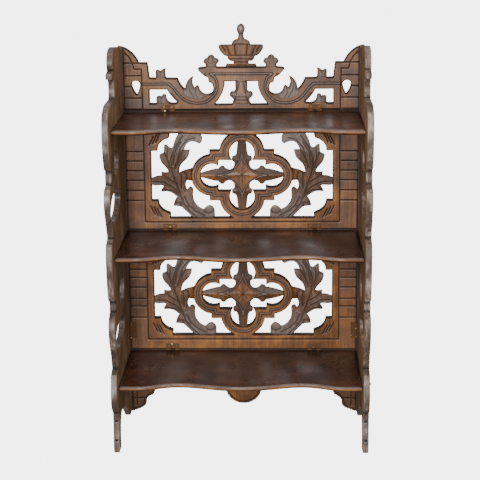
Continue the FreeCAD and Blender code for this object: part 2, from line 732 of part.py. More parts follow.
outer_face = half_inner + size("side_thickness")
for side, sign in (("left", -1), ("right", 1)):
    pegs = []
    for top in shelf_heights.values():
        height = top - size("shelf_thickness") - size("peg_radius") - size("peg_gap")
        place = turned(Vector(sign * outer_face, board_face - size("peg_depth"), height),
                       rightwards * -sign, forwards)
        pegs.append(moved(peg_shape(), place))
        hole = Part.makeCylinder(size("peg_radius") + size("running_clearance"),
                                 size("side_thickness") + 2 * size("cut_overrun"),
                                 Vector(-size("cut_overrun"), 0, 0), rightwards)
        side_tools[side].append(moved(hole, place))
    add_group("shelf_pegs_" + side, pegs)

# Dowel between the crest rail and the urn
dowel_middle = board_face + size("board_thickness") / 2
dowel_base = Vector(0, dowel_middle, urn_seat - size("dowel_length") * dowel_sunk_share)
dowel = doc.addObject("Part::Cylinder", "dowel")
dowel.setExpression("Radius", "sizes.dowel_radius")
dowel.setExpression("Height", "sizes.dowel_length")
dowel.Placement = Placement(dowel_base, Rotation())
finish_node(dowel, "urn_dowel")
dowel_hole = Part.makeCylinder(size("dowel_radius") + size("leaf_fit"),
                               size("dowel_length") + 2 * size("leaf_fit"),
                               dowel_base - upwards * size("leaf_fit"))

cut_wood(build_urn(), "urn_finial", [dowel_hole])
cut_wood(build_board(), "back_board", board_tools + [dowel_hole])
cut_wood(build_side("side_left", -outer_face), "side_left", side_tools["left"])
cut_wood(build_side("side_right", half_inner), "side_right", side_tools["right"])
for shelf, top in shelf_heights.items():
    cut_wood(build_shelf("shelf_" + shelf, top), "shelf_" + shelf, shelf_tools[shelf])

doc.recompute()
for item in doc.Objects:
    if "Invalid" in item.State or "Error" in item.State:
        raise RuntimeError("%s failed: %s" % (item.Name, item.State))
for feature in pockets:
    if not feature.Shape.Volume < feature.BaseFeature.Shape.Volume:
        raise RuntimeError(feature.Label + " cuts nothing")
for node in nodes:
    shape = node.Shape
    if shape.isNull() or not shape.isValid() or not shape.Solids:
        raise RuntimeError(node.Label + " has no valid solid")
    shape.exportStep("parts/%s.step" % node.Label)
print(len(nodes), "nodes,", sum(len(node.Shape.Solids) for node in nodes), "solids")
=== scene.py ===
from math import cos, pi, radians, sin
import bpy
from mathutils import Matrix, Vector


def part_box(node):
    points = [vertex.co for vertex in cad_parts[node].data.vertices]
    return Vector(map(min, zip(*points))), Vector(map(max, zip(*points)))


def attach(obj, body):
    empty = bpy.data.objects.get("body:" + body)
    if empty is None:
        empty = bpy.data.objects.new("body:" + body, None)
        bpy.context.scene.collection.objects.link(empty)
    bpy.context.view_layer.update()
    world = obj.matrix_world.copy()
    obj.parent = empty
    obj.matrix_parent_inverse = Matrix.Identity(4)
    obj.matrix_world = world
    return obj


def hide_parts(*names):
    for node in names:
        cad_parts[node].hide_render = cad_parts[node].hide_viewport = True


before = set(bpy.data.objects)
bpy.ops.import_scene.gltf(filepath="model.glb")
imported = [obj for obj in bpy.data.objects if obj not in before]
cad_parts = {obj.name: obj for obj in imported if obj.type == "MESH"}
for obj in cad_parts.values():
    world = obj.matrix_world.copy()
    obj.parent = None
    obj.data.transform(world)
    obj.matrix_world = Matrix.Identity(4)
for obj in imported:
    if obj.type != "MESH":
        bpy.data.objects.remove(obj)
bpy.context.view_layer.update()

from types import SimpleNamespace

import bmesh
import bpy
import numpy as np
from mathutils import Matrix, Vector, kdtree
from mathutils.geometry import delaunay_2d_cdt

MM = 0.001


# The photographer's place
# The unit was photographed from a little above its top shelf and a little to the right,
# through a long lens, so its sides open out towards the floor.

photo_side = 480
lens_in_pixels = 1410.6
camera_place = Vector((0.0734, -2.4354, 0.9674))
camera_yaw, camera_pitch, camera_roll = 0.0306, 0.2419, -0.0091

level_right = Vector((cos(camera_yaw), sin(camera_yaw), 0))
level_ahead = Vector((-sin(camera_yaw), cos(camera_yaw), 0))
ahead = level_ahead * cos(camera_pitch) - Vector((0, 0, sin(camera_pitch)))
above = level_ahead * sin(camera_pitch) + Vector((0, 0, cos(camera_pitch)))
right = level_right * cos(camera_roll) + above * sin(camera_roll)
above = above * cos(camera_roll) - level_right * sin(camera_roll)

sensor_width, sight_in_metres = 36, 50
photographer = bpy.data.objects.new("photographer", bpy.data.cameras.new("photographer"))
bpy.context.scene.collection.objects.link(photographer)
photographer.data.sensor_width = sensor_width
photographer.data.lens = sensor_width * lens_in_pixels / photo_side
photographer.data.clip_end = sight_in_metres
turn = Matrix((right, above, -ahead)).transposed().to_4x4()
photographer.matrix_world = Matrix.Translation(camera_place) @ turn
bpy.context.scene.camera = photographer


# Back board
# One wide walnut board, sawn out with a fretsaw and planed flat behind. Its face is carved:
# chamfered arrises, a gouged channel along each strap, acanthus leaves and four-pointed stars.


def linear(hex_colour):
    """An sRGB hex colour as linear red, green, blue and alpha."""
    parts = [int(hex_colour[i:i + 2], 16) / 255 for i in (1, 3, 5)]
    curve = [c / 12.92 if c <= 0.04045 else ((c + 0.055) / 1.055) ** 2.4 for c in parts]
    return (*curve, 1.0)


def add_node(tree, kind, settings=None, inputs=None):
    """Add a node; an input's value may be another node's output socket."""
    node = tree.nodes.new(kind)
    for name, value in (settings or {}).items():
        setattr(node, name, value)
    for name, value in (inputs or {}).items():
        if isinstance(value, bpy.types.NodeSocket):
            tree.links.new(value, node.inputs[name])
        else:
            node.inputs[name].default_value = value
    return node


def new_material(name):
    """A material, its empty tree, and the place on the object that its patterns read."""
    material = bpy.data.materials.new(name)
    material.use_nodes = True
    tree = material.node_tree
    tree.nodes.clear()
    return material, tree, add_node(tree, "ShaderNodeTexCoord").outputs["Object"]


def repeats(size):
    """How often a pattern of that size, in mm, comes in a metre."""
    return 1 / (size * MM)


def paint(piece, *materials):
    """Give a piece its materials, in the order of its faces' material numbers."""
    for material in materials:
        piece.data.materials.append(material)


def face_edges(node, axis, level, skip=()):
    """The rim of a CAD node's flat face at that level, in mm: segments and the way inwards."""
    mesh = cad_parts[node].data
    corners = np.empty(len(mesh.vertices) * 3)
    mesh.vertices.foreach_get("co", corners)
    corners = corners.reshape(-1, 3) / MM
    index = np.empty(len(mesh.polygons) * 3, int)
    mesh.polygons.foreach_get("vertices", index)
    triangles = corners[index.reshape(-1, 3)]
    level_slack = 0.01
    flat = triangles[np.abs(triangles[:, :, axis] - level).max(1) < level_slack]
    flat = np.round(np.delete(flat, axis, 2), 3)
    once = {}
    for a, b, c in flat:
        for start, end, third in ((a, b, c), (b, c, a), (c, a, b)):
            key = tuple(sorted((tuple(start), tuple(end))))
            once[key] = None if key in once else third
    rims, inward = [], []
    for (start, end), third in once.items():
        if third is None:
            continue
        start, end = np.array(start), np.array(end)
        if any((np.minimum(start, end) > low).all() and (np.maximum(start, end) < high).all()
               for low, high in skip):
            continue
        along = (end - start) / np.linalg.norm(end - start)
        side = np.array((-along[1], along[0]))
        rims.append((start, end))
        inward.append(side if (third - start) @ side > 0 else -side)
    return np.array(rims), np.array(inward)


def divided(rims, inward, step):
    """The same rim in pieces no longer than the step."""
    pieces, ways = [], []
    for (start, end), way in zip(rims, inward):
        count = max(1, int(np.ceil(np.linalg.norm(end - start) / step)))
        stops = start + (end - start) * np.linspace(0, 1, count + 1)[:, None]
        pieces.extend(zip(stops[:-1], stops[1:]))
        ways.extend([way] * count)
    return np.array(pieces), np.array(ways)


def within(points, rims):
    """Whether each point is inside the outline."""
    batch_size, level_rise = 600, 1e-9
    result = np.zeros(len(points), bool)
    order = np.argsort(points[:, 1])
    for first in range(0, len(points), batch_size):
        batch = order[first:first + batch_size]
        p = points[batch]
        near = (rims[:, :, 1].max(1) >= p[0, 1]) & (rims[:, :, 1].min(1) <= p[-1, 1])
        a, b = rims[near, 0], rims[near, 1]
        rise = np.where(b[:, 1] == a[:, 1], level_rise, b[:, 1] - a[:, 1])
        height = p[:, 1][:, None]
        crossed = (a[:, 1] > height) != (b[:, 1] > height)
        where = a[:, 0] + (height - a[:, 1]) * (b[:, 0] - a[:, 0]) / rise
        result[batch] = (crossed & (p[:, 0][:, None] < where)).sum(1) % 2 == 1
    return result


def nearest(points, stops):
    """Which of the stops is nearest each point, and how far off it is."""
    tree = kdtree.KDTree(len(stops))
    for i, (a, b) in enumerate(stops):
        tree.insert((a, b, 0), i)
    tree.balance()
    found = np.array([tree.find((a, b, 0))[1:] for a, b in points])
    return found[:, 0].astype(int), found[:, 1]


def rims_near(rims, low, high, margin):
    """Which segments of a rim come within the margin of a box."""
    return (rims.max(1) > low - margin).all(1) & (rims.min(1) < high + margin).all(1)


def distances(points, rims):
    """How far each point is from the outline."""
    margin, step = 12, 0.35
    near = rims_near(rims, points.min(0), points.max(0), margin)
    dense, _ = divided(rims[near], np.zeros((near.sum(), 2)), step)
    return nearest(points, np.unique(np.round(dense.reshape(-1, 2), 3), axis=0))[1]


def rim_facing(points, rims, inward):
    """Which way the outline nearest each point faces, as a unit vector out of the wood."""
    margin, step = 12, 1.0
    near = rims_near(rims, points.min(0), points.max(0), margin)
    dense, ways = divided(rims[near], inward[near], step)
    return -ways[nearest(points, dense.mean(1))[0]]


def face_points(rims, inward, followed, spacing, rows, marks, low, high):
    """Where a board's face gets its points: rows beside its outline, marks, and a grid between.

    None comes too close to the lines that the face's triangles have to follow.
    """
    row_slack, mark_gap, mark_margin, mark_cell = 0.12, 0.4, 1, 0.45
    grid_gap_share, grid_to_mark_share, row_share = 0.55, 0.6, 0.866
    beside_rim = np.concatenate([rims.mean(1) + inward * row for row in rows])
    across = np.arange(low[0], high[0], spacing)
    up = np.arange(low[1], high[1], spacing * row_share)
    grid = np.array([(x + spacing / 2 * (i % 2), z) for i, z in enumerate(up) for x in across])
    marks = marks[(marks > low - mark_margin).all(1) & (marks < high + mark_margin).all(1)]
    if len(marks):
        _, first = np.unique(np.round(marks / mark_cell).astype(int), axis=0, return_index=True)
        marks = marks[first]
        grid = grid[nearest(grid, marks)[1] > spacing * grid_to_mark_share]
    everything = np.concatenate((beside_rim, grid, marks))
    row_reach, grid_reach, mark_reach = np.split(
        distances(everything, followed), (len(beside_rim), len(beside_rim) + len(grid)))
    wanted = np.concatenate((
        np.abs(row_reach - np.repeat(rows, len(rims))) < row_slack,
        grid_reach > spacing * grid_gap_share,
        mark_reach > mark_gap,
    ))
    return everything[wanted]


def flat_rear(flat, rim, in_wood):
    """A plain rear face on the points of the rim: those points, and its triangles."""
    border = sorted({i for pair in rim for i in pair})
    place_of = {v: i for i, v in enumerate(border)}
    verts, _, faces, origins, *_ = delaunay_2d_cdt(
        [Vector(flat[v]) for v in border], [(place_of[a], place_of[b]) for a, b in rim], [], 0, 1e-5)
    corners, faces = np.array([tuple(v) for v in verts]), np.array(faces)
    given = [origin[0] for origin in origins]
    faces = faces[in_wood(corners, faces)]
    return border, [[given[i] for i in reversed(face)] for face in faces.tolist()]


# an edge sharper than this shows as an arris
sharp_angle = radians(38)


def carved_slab(name, outline, inner_lines, lay, depths, spacing, rows, marks=np.zeros((0, 2)),
                span=None):
    """A board cut to an outline, with carved faces.

    depths gives, for points, how deep the front and the back lie, and the looks there; one
    number for the back makes that flat. lay puts a point and its depth in space. span keeps
    a strip of the board, between two heights. Faces are numbered 0 carved, 1 sawn, 2 planed.
    """
    strip_margin, cut_gap, weld = 8, 0.3, 1e-3
    rims, inward = divided(*outline, spacing)
    lines = [rims] + [divided(*line, spacing)[0] for line in inner_lines]
    low, high = rims.reshape(-1, 2).min(0), rims.reshape(-1, 2).max(0)
    if span:
        low[1], high[1] = max(low[1], span[0]), min(high[1], span[1])
        near = rims_near(rims, low, high, strip_margin)
        rims, inward = rims[near], inward[near]
        lines = [line[rims_near(line, low, high, strip_margin)] for line in lines]
    followed = np.concatenate(lines)
    points = face_points(rims, inward, followed, spacing, rows, marks, low, high)
    cuts = []
    if span:
        points = points[(points[:, 1] > low[1] + cut_gap) & (points[:, 1] < high[1] - cut_gap)]
        columns = np.arange(low[0] - 1, high[0] + 2, spacing)
        cuts = [np.stack((columns, np.full(len(columns), level)), 1) for level in (low[1], high[1])]
    ends = followed.reshape(-1, 2)
    edges = [(i, i + 1) for i in range(0, len(ends), 2)]
    first = len(ends) + len(points)
    for cut in cuts:
        edges += [(first + i, first + i + 1) for i in range(len(cut) - 1)]
        first += len(cut)
    verts = [Vector(p) for p in np.concatenate((ends, points, *cuts))]
    verts, _, faces, *_ = delaunay_2d_cdt(verts, edges, [], 0, weld)

    def in_wood(corners, triangles):
        centres = corners[triangles].mean(1)
        return within(centres, rims) & (centres[:, 1] > low[1]) & (centres[:, 1] < high[1])

    flat, faces = np.array([tuple(v) for v in verts]), np.array(faces)
    used, faces = np.unique(faces[in_wood(flat, faces)], return_inverse=True)
    faces = faces.reshape(-1, 3).tolist()
    flat = flat[used]
    once = {}
    for a, b, c in faces:
        for start, end in ((a, b), (b, c), (c, a)):
            key = (min(start, end), max(start, end))
            once[key] = None if key in once else (start, end)
    rim = [pair for pair in once.values() if pair]
    front, back, looks = depths(flat)
    count = len(flat)
    places = [lay(a, b, d) for (a, b), d in zip(flat, front)]
    if np.isscalar(back):
        border, rear = flat_rear(flat, rim, in_wood)
        places += [lay(*flat[v], back) for v in border]
        looks = {key: np.concatenate((value, np.zeros(len(border)))) for key, value in looks.items()}
        carved, planed = faces, [[count + i for i in face] for face in rear]
    else:
        border = range(count)
        places += [lay(a, b, d) for (a, b), d in zip(flat, back)]
        looks = {key: np.concatenate((value, value)) for key, value in looks.items()}
        carved, planed = faces + [[count + i for i in reversed(face)] for face in faces], []
    behind = {v: count + i for i, v in enumerate(border)}
    walls = [(end, start, behind[start], behind[end]) for start, end in rim]
    mesh = bpy.data.meshes.new(name)
    mesh.from_pydata(places, [], carved + walls + planed)
    mesh.polygons.foreach_set(
        "material_index", [0] * len(carved) + [1] * len(walls) + [2] * len(planed))
    for key, value in looks.items():
        mesh.attributes.new(key, "FLOAT", "POINT").data.foreach_set("value", value.astype(np.float32))
    whole = bmesh.new()
    whole.from_mesh(mesh)
    bmesh.ops.recalc_face_normals(whole, faces=whole.faces)
    whole.to_mesh(mesh)
    whole.free()
    mesh.shade_smooth()
    mesh.set_sharp_from_angle(angle=sharp_angle)
    piece = bpy.data.objects.new(name, mesh)
    bpy.context.scene.collection.objects.link(piece)
    return piece


def walnut(name, dark, middle, light, grain_axis, roughness, rubbed_to="#A8703C", gleam=0.3,
           tooth=0.12):
    """Black walnut, sawn and carved by hand, then oiled: streaked along the grain, worn to
    a lighter orange brown on its arrises, with dark wax and painted shade in its cuts.

    The mesh's own attributes say where: leaf greys the wood, for dust and for painted sheen;
    glint is a painted highlight; worn is rubbed brown; cut darkens, for wax in the
    gouges and for painted shade in creases, recesses and corners. tooth is how open the pores are.
    """
    material, tree, place = new_material(name)
    # the streaks are 3.3 mm wide and 62.5 mm long, the clouds 56 mm across and the rubbed
    # patches 71 mm; the pores are too fine to show, and are drawn 0.67 mm wide and 17 mm long
    streak_size, pore_size, cloud_size, patch_size = [10 / 3] * 3, [2 / 3] * 3, 500 / 9, 500 / 7
    streak_size[grain_axis], pore_size[grain_axis] = 62.5, 50 / 3
    streaks = add_node(tree, "ShaderNodeMapping", inputs={
        "Vector": place, "Scale": [repeats(size) for size in streak_size]})
    pores = add_node(tree, "ShaderNodeMapping", inputs={
        "Vector": place, "Scale": [repeats(size) for size in pore_size]})
    streak = add_node(tree, "ShaderNodeTexNoise", inputs={
        "Vector": streaks.outputs[0], "Scale": 1.0, "Detail": 4.0, "Roughness": 0.6})
    pore = add_node(tree, "ShaderNodeTexNoise", inputs={
        "Vector": pores.outputs[0], "Scale": 1.0, "Detail": 2.0})
    cloud = add_node(tree, "ShaderNodeTexNoise", inputs={
        "Vector": place, "Scale": repeats(cloud_size), "Detail": 6.0, "Roughness": 0.62})
    blend = add_node(tree, "ShaderNodeMath", {"operation": "MULTIPLY"}, {
        0: cloud.outputs["Fac"], 1: 0.68})
    blend = add_node(tree, "ShaderNodeMath", {"operation": "MULTIPLY_ADD"}, {
        0: streak.outputs["Fac"], 1: 0.36, 2: blend.outputs[0]})
    ramp = add_node(tree, "ShaderNodeValToRGB", inputs={"Fac": blend.outputs[0]})
    stops = ramp.color_ramp.elements
    stops[0].position, stops[0].color = 0.36, linear(dark)
    stops[1].position, stops[1].color = 0.68, linear(light)
    stops.new(0.52).color = linear(middle)
    pore_dark = add_node(tree, "ShaderNodeMapRange", inputs={
        "Value": pore.outputs["Fac"], "From Min": 0.3, "From Max": 0.42,
        "To Min": 1 - 2.3 * tooth, "To Max": 1.0})
    wood = add_node(tree, "ShaderNodeMix", {"data_type": "RGBA", "blend_type": "MULTIPLY"}, {
        0: 1.0, 6: ramp.outputs["Color"], 7: pore_dark.outputs[0]})
    leaf, glint, worn, cut = (
        add_node(tree, "ShaderNodeAttribute", {"attribute_name": look}).outputs["Fac"]
        for look in ("leaf", "glint", "worn", "cut"))
    grey = add_node(tree, "ShaderNodeMix", {"data_type": "RGBA"}, {
        0: streak.outputs["Fac"], 6: linear("#3A2720"), 7: linear("#7C6B62")})
    patchy = add_node(tree, "ShaderNodeMath", {"operation": "MULTIPLY"}, {
        0: worn, 1: cloud.outputs["Fac"]})
    tone = wood.outputs[2]
    for share, finish in ((leaf, grey.outputs[2]), (glint, linear("#B4A79F")),
                          (patchy.outputs[0], linear(rubbed_to)), (cut, linear("#140C08"))):
        tone = add_node(tree, "ShaderNodeMix", {"data_type": "RGBA"}, {
            0: share, 6: tone, 7: finish}).outputs[2]
    handling = add_node(tree, "ShaderNodeTexNoise", inputs={
        "Vector": place, "Scale": repeats(patch_size), "Detail": 1.0})
    gloss = add_node(tree, "ShaderNodeMapRange", inputs={
        "Value": handling.outputs["Fac"], "From Min": 0.35, "From Max": 0.65,
        "To Min": roughness - 0.06, "To Max": roughness + 0.1})
    # the cuts are matt, both the wax and the painted shade in them
    matt = add_node(tree, "ShaderNodeMath", {"operation": "MULTIPLY_ADD"}, {
        0: cut, 1: 0.4, 2: gloss.outputs[0]})
    bump = add_node(tree, "ShaderNodeBump", inputs={
        "Strength": tooth, "Distance": 0.4 * MM, "Height": pore.outputs["Fac"]})
    shader = add_node(tree, "ShaderNodeBsdfPrincipled", inputs={
        "Base Color": tone, "Roughness": matt.outputs[0], "Normal": bump.outputs[0],
        "IOR": 1.5, "Specular IOR Level": gleam})
    add_node(tree, "ShaderNodeOutputMaterial", inputs={"Surface": shader.outputs[0]})
    return material


# the face is a warm brown that shines dully, the sawn walls are almost black, from their end
# grain and old dust and from painted shade in the openings, and the back was never oiled
board_walnut = walnut("black_walnut_carved_and_oiled", "#361E10", "#674020", "#98622C",
                      grain_axis=2, roughness=0.32)
sawn_walnut = walnut("black_walnut_sawn_edges", "#0E0906", "#1C130E", "#2C1F17",
                     grain_axis=1, roughness=0.5)
planed_walnut = walnut("black_walnut_planed_back", "#2C2018", "#4A3728", "#68503A",
                       grain_axis=2, roughness=0.6, gleam=0.15)

board_low, board_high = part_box("back_board")
board_face, board_back = board_low.y / MM, board_high.y / MM
board_bottom, board_top = board_low.z / MM, board_high.z / MM
board_thickness = board_back - board_face
shelf_heights = [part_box(name)[1].z / MM for name in ("shelf_bottom", "shelf_middle", "shelf_top")]
# the recesses of the hinge leaves aren't part of the carving
recess_margin = 1
hinge_recesses = []
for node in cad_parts:
    if node.endswith("board_leaf"):
        low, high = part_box(node)
        hinge_recesses.append((np.array((low.x, low.z)) / MM - recess_margin,
                               np.array((high.x, high.z)) / MM + recess_margin))
sawn = face_edges("back_board", 1, board_back)
raised = face_edges("back_board", 1, board_face, hinge_recesses)

# All places on the board are in mm, aside and up, for its right half; the left is its mirror.
# The leaf work lies lower than the frame, and past butt_start the sides stand before it
leaf_drop, butt_start = 1.5, 214.5
window_middles, window_half = (460.5, 233.3), (168, 80)

# the carver's V lines: short ones across each stile, and long ones round the windows
line_width, line_depth, rim_line = 1.7, 1.5, 4.5
crest_foot, crest_line, crest_top = 584, 583.5, 735
stile_inner, line_inner, line_outer = 180, 182, 217
corner_nick, corner_nick_shifts, corner_nick_closing = ((150, 78), (158, 62)), (0, 6, 12), 0.4
carver_lines = []
for heights in ((506, 488, 470, 452, 433, 414), (282, 266, 247, 225, 210, 188),
                (668, 645, 625.5, 604.5, crest_foot)):
    for height in heights:
        carver_lines.append(((line_inner, height), (line_outer, height)))
for middle, (top, bottom) in zip(window_middles, ((553, 373), (330, 145))):
    carver_lines.append(((stile_inner, top), (stile_inner, bottom), (0, bottom)))
    for shift in corner_nick_shifts:
        for side in (-1, 1):
            carver_lines.append([(aside + shift, middle + side * (up - shift * corner_nick_closing))
                                 for aside, up in corner_nick])
carver_lines += [
    ((211, 687), (203, 679), (198, 670), (194, 657), (181, 657), (stile_inner, crest_foot)),
    ((0, crest_line), (stile_inner, crest_line)),
    ((168, 27), (214, 27)), ((172, 52), (214, 52)), ((205, 12), (205, 112)),
]

# the crest, and the leaf work in it, as low and high corners; some of it fills what the strap
# leaves free. Lines follow on its leaves and on its middle ornament
crest_box = ((-1, 590), (184, board_top + 1))
leaves_off_strap = [((114, 595), (157, 614)), ((59, 602), (105, 648))]
crest_leaves = [((134, 642.3), (160, board_top + 1)), ((-1, 661), (80, board_top + 1)),
                ((-1, 594), (29.5, 633.5))]
crest_vein_width = 1.2
crest_veins = [
    ((86, 604), (93, 616), (97, 632)), ((80, 604), (84, 613), (83, 622)), ((72, 602), (66, 608)),
    ((146, 642), (147, 652)), ((151, 643), (154, 651)),
    ((146, 594), (147, 606)), ((151, 594), (153, 603)), ((55, 662), (55, 678)),
    ((55, 664), (48, 671)), ((55, 664), (62, 671)),
    ((11, 622), (16, 618), (20, 612), (17, 607), (13, 609)), ((13, 601), (19, 596)),
]

# the flat gouged channel of the crest's strap: along the arm, round the bend and
# through the bar
channel_width, channel_depth, channel_wall = 2.2, 1.5, 0.9
strap_reach = 7.6
strap_line = [(181, 630), (131, 630), (123, 622), (112, 608), (102, 600), (92, 596), (82, 594.5),
              (72, 595), (62, 598), (54, 604), (47, 612.5), (43.5, 622), (43.5, 632),
              (47, 641), (56, 648), (0, 648)]

# The cartouche's strap, from the middle of its window: lobe centres and radii, and its steps
side_lobe, side_lobe_radius = 55, 30.3
tall_lobe, tall_lobe_radius = 41, 32.5
strap_step = (51.8, 37.9)
cartouche_line = [(side_lobe + side_lobe_radius * cos(turn), side_lobe_radius * sin(turn))
                  for turn in np.radians(np.arange(0, 96.1, 6))]
cartouche_line += [strap_step, (32.4, strap_step[1])]
cartouche_line += [(tall_lobe_radius * cos(turn), tall_lobe + tall_lobe_radius * sin(turn))
                   for turn in np.radians(np.arange(0, 90.1, 6))]

# The star's edge curves in between its points
star_reach, star_bend = (46, 42), 0.6
star_line = [(star_reach[0] * cos(turn) ** (2 / star_bend), star_reach[1] * sin(turn) ** (2 / star_bend))
             for turn in np.radians(np.arange(0, 90.1, 5))]
star_bead, reed_pitch = 1.0, 3.4

# veins of a leaf scroll, from the middle of its window
vein_width, vein_depth = 1.7, 1.6
flute_pitch = 2.8
volute, volute_radius = (62, -61), 9.5
veins = [
    ((84, -80), (98, -68), (108, -54), (115, -35), (122, -15), (130, 10), (131, 30), (124, 52), (108, 74)),
    ((128, 12), (138, 30), (146, 50)),
    ((124, 14), (116, 34), (108, 46)),
    ((127, 20), (124, 44), (112, 62)),
    ((134, 14), (138, 34), (136, 50)),
    ((112, -38), (128, -22), (146, -13), (165, -12)),
    ((110, -44), (128, -29), (148, -27)),
    ((120, -16), (134, -8), (147, 2)),
    ((100, -60), (113, -52), (126, -52)),
    ((112, -24), (112, -6), (113, 4)),
    ((118, 30), (113, 50), (100, 66), (86, 70)),
    ((70, -76), (86, -68), (99, -56), (107, -40)), ((96, -80), (110, -66), (116, -50)),
    ((106, -24), (101, -10), (103, 4), (109, 9), (115, 3)),
]


def near_lines(points, lines):
    """How far each point is from the nearest of the drawn lines, where that is under 16 mm."""
    search, far = 16, 99.0
    nearest_gap = np.full(len(points), far)
    for line in lines:
        for start, end in zip(line[:-1], line[1:]):
            start, end = np.array(start, float), np.array(end, float)
            near = ((points > np.minimum(start, end) - search)
                    & (points < np.maximum(start, end) + search)).all(1)
            close = points[near]
            along = end - start
            share = np.clip((close - start) @ along / (along @ along), 0, 1)
            gap = np.linalg.norm(close - start - share[:, None] * along, axis=1)
            nearest_gap[near] = np.minimum(nearest_gap[near], gap)
    return nearest_gap


def fade(value, full, none):
    """1 where the value is at the first size or past it, 0 at the second, evenly between."""
    return np.clip((none - value) / (none - full), 0, 1)


def lift(look, where, amount):
    """A look, raised to the amount where that is said."""
    return np.maximum(look, np.where(where, amount, 0))


def in_boxes(points, boxes):
    """Whether each point is in one of the boxes, given by their low and high corners."""
    return np.any([((points > low) & (points < high)).all(1) for low, high in boxes], 0)


def strap_channel(gap):
    """How deep the flat channel is at that distance from its middle line."""
    return channel_depth * fade(gap, channel_width - channel_wall, channel_width)


def frame_of_board(face, upward):
    """The stiles, rails and feet: chamfers, gouged lines, and painted shade where pieces meet."""
    aside, height = face.half.T
    chamfer_width, chamfer_depth = 2.0, 1.8
    roll_width, roll_depth, roll_curve = 7, 3.2, 1.6
    face.depth = np.where(face.high, chamfer_depth * fade(face.to_raised, 0, chamfer_width),
                          leaf_drop + roll_depth * fade(face.to_sawn, 0, roll_width) ** roll_curve)
    lines = np.where(face.high, fade(near_lines(face.half, carver_lines), 0, line_width), 0)
    face.depth += line_depth * lines
    # the gouged lines are dark with wax and painted shade, and the arrises are painted dark with shade,
    # widest on those that face upwards
    dark_width = 0.8 + 1.5 * upward + np.where(face.in_crest, 0.6, 0)
    arris = fade(face.to_raised, 0.6 * dark_width, 1.6 * dark_width)
    face.cut = np.maximum(lines, np.where(face.high, 0.95, 0.5) * arris)
    # the outer stiles are a little greyer, and the sunk ground is grey
    stile_grey_start, stile_grey_end = 176, 182
    face.leaf = np.where(face.high, 0.3 * fade(aside, stile_grey_end, stile_grey_start), 1.0)
    # painted shade lies in a line along each shelf, and in the corners with the sides
    shelf_line, corner_start, corner_end = 2.0, 209.5, 212.5
    for shelf_height in shelf_heights:
        to_line = np.abs(height - shelf_height - shelf_line)
        face.cut = np.maximum(face.cut, 0.97 * fade(to_line, 1.28, 2.88))
    face.cut = np.maximum(face.cut, 0.95 * fade(aside, corner_end, corner_start))
    # a line follows the edge of each foot bracket and of the pendant, where the board is darker
    foot_top, foot_inner = 105, 100
    below = face.high & (height < foot_top)
    follow = fade(np.abs(face.to_raised - rim_line), 0, line_width)
    face.depth += np.where(below, line_depth * follow, 0)
    face.cut = np.maximum(face.cut, np.where(below & (aside > foot_inner), 0.25, 0.05))
    face.cut = lift(face.cut, below, np.minimum(1.5 * follow, 0.95))
    # the lower arris of each gouged line gets a painted highlight
    line_end, arris_shift = 209, 2.2
    to_arris = near_lines(face.half + (0, arris_shift), carver_lines)
    face.glint = lift(np.zeros(len(aside)), face.high & (aside < line_end),
                      0.24 * fade(to_arris, 0.27, 1.17))


def crest_of_board(face):
    """The crest: its channelled strap, the leaf work between, the post and the small flowers."""
    aside, height = face.half.T
    face.leaf = np.where(face.high & (height > crest_foot) & (height < crest_top),
                         np.maximum(face.leaf, 0.2), face.leaf)
    face.cut = lift(face.cut, height > crest_foot, np.where(face.crest_leaf, 0.36, 0.24))
    strap = face.high & face.in_crest
    wall_line, floor_reach = 1.9, 1.6
    face.depth += np.where(strap, strap_channel(face.to_strap), 0)
    # the channel's walls are painted dark with shade, and its floor is greyed with painted sheen and given
    # a painted highlight along its middle
    face.cut = lift(face.cut, strap, fade(np.abs(face.to_strap - wall_line), 0.3, 1.3))
    face.leaf = lift(face.leaf, strap & (face.to_strap < floor_reach), 0.8)
    face.glint = lift(face.glint, strap, 0.16 * fade(face.to_strap, 0.18, 1.08))
    vein = np.where(face.crest_leaf, fade(near_lines(face.half, crest_veins), 0, crest_vein_width), 0)
    face.depth += vein
    face.cut = np.maximum(face.cut, 0.6 * vein)
    # the middle ornament is a tapered post, outlined and with two lines across its foot
    post_neck, post_neck_half, post_taper, post_foot_lines = 633, 4, 0.25, (600, 606)
    post_half = post_neck_half + (post_neck - height) * post_taper
    post = face.crest_leaf & (aside < post_half)
    outline_cut = fade(post_half - aside, 0.72, 2.52)
    to_foot_line = np.minimum(*(np.abs(height - line) for line in post_foot_lines))
    foot_cut = np.minimum(fade(to_foot_line, 0.54, 1.44), 0.8)
    face.cut = np.where(post, np.maximum(outline_cut, foot_cut), face.cut)
    # each small flower on the crest has a bud in its middle
    flower_stem, flower_foot, bud_top, bud_top_half, bud_taper = 55, 661, 680, 2.6, 0.14
    bud_half = bud_top_half + (bud_top - height) * bud_taper
    to_stem = np.abs(aside - flower_stem)
    bud = face.crest_leaf & (height > flower_foot) & (to_stem < bud_half)
    face.cut = np.where(bud, 0.25 + 0.7 * fade(bud_half - to_stem, 0.42, 1.82), face.cut)
    face.leaf = np.where(bud, 0.2, face.leaf)
    face.leaf = np.where(post, 0.1, face.leaf)
    # the crest's leaves get a painted highlight away from their sawn edges
    face.glint = lift(face.glint, face.crest_leaf & ~post, 0.15 * fade(face.to_sawn, 6, 2))


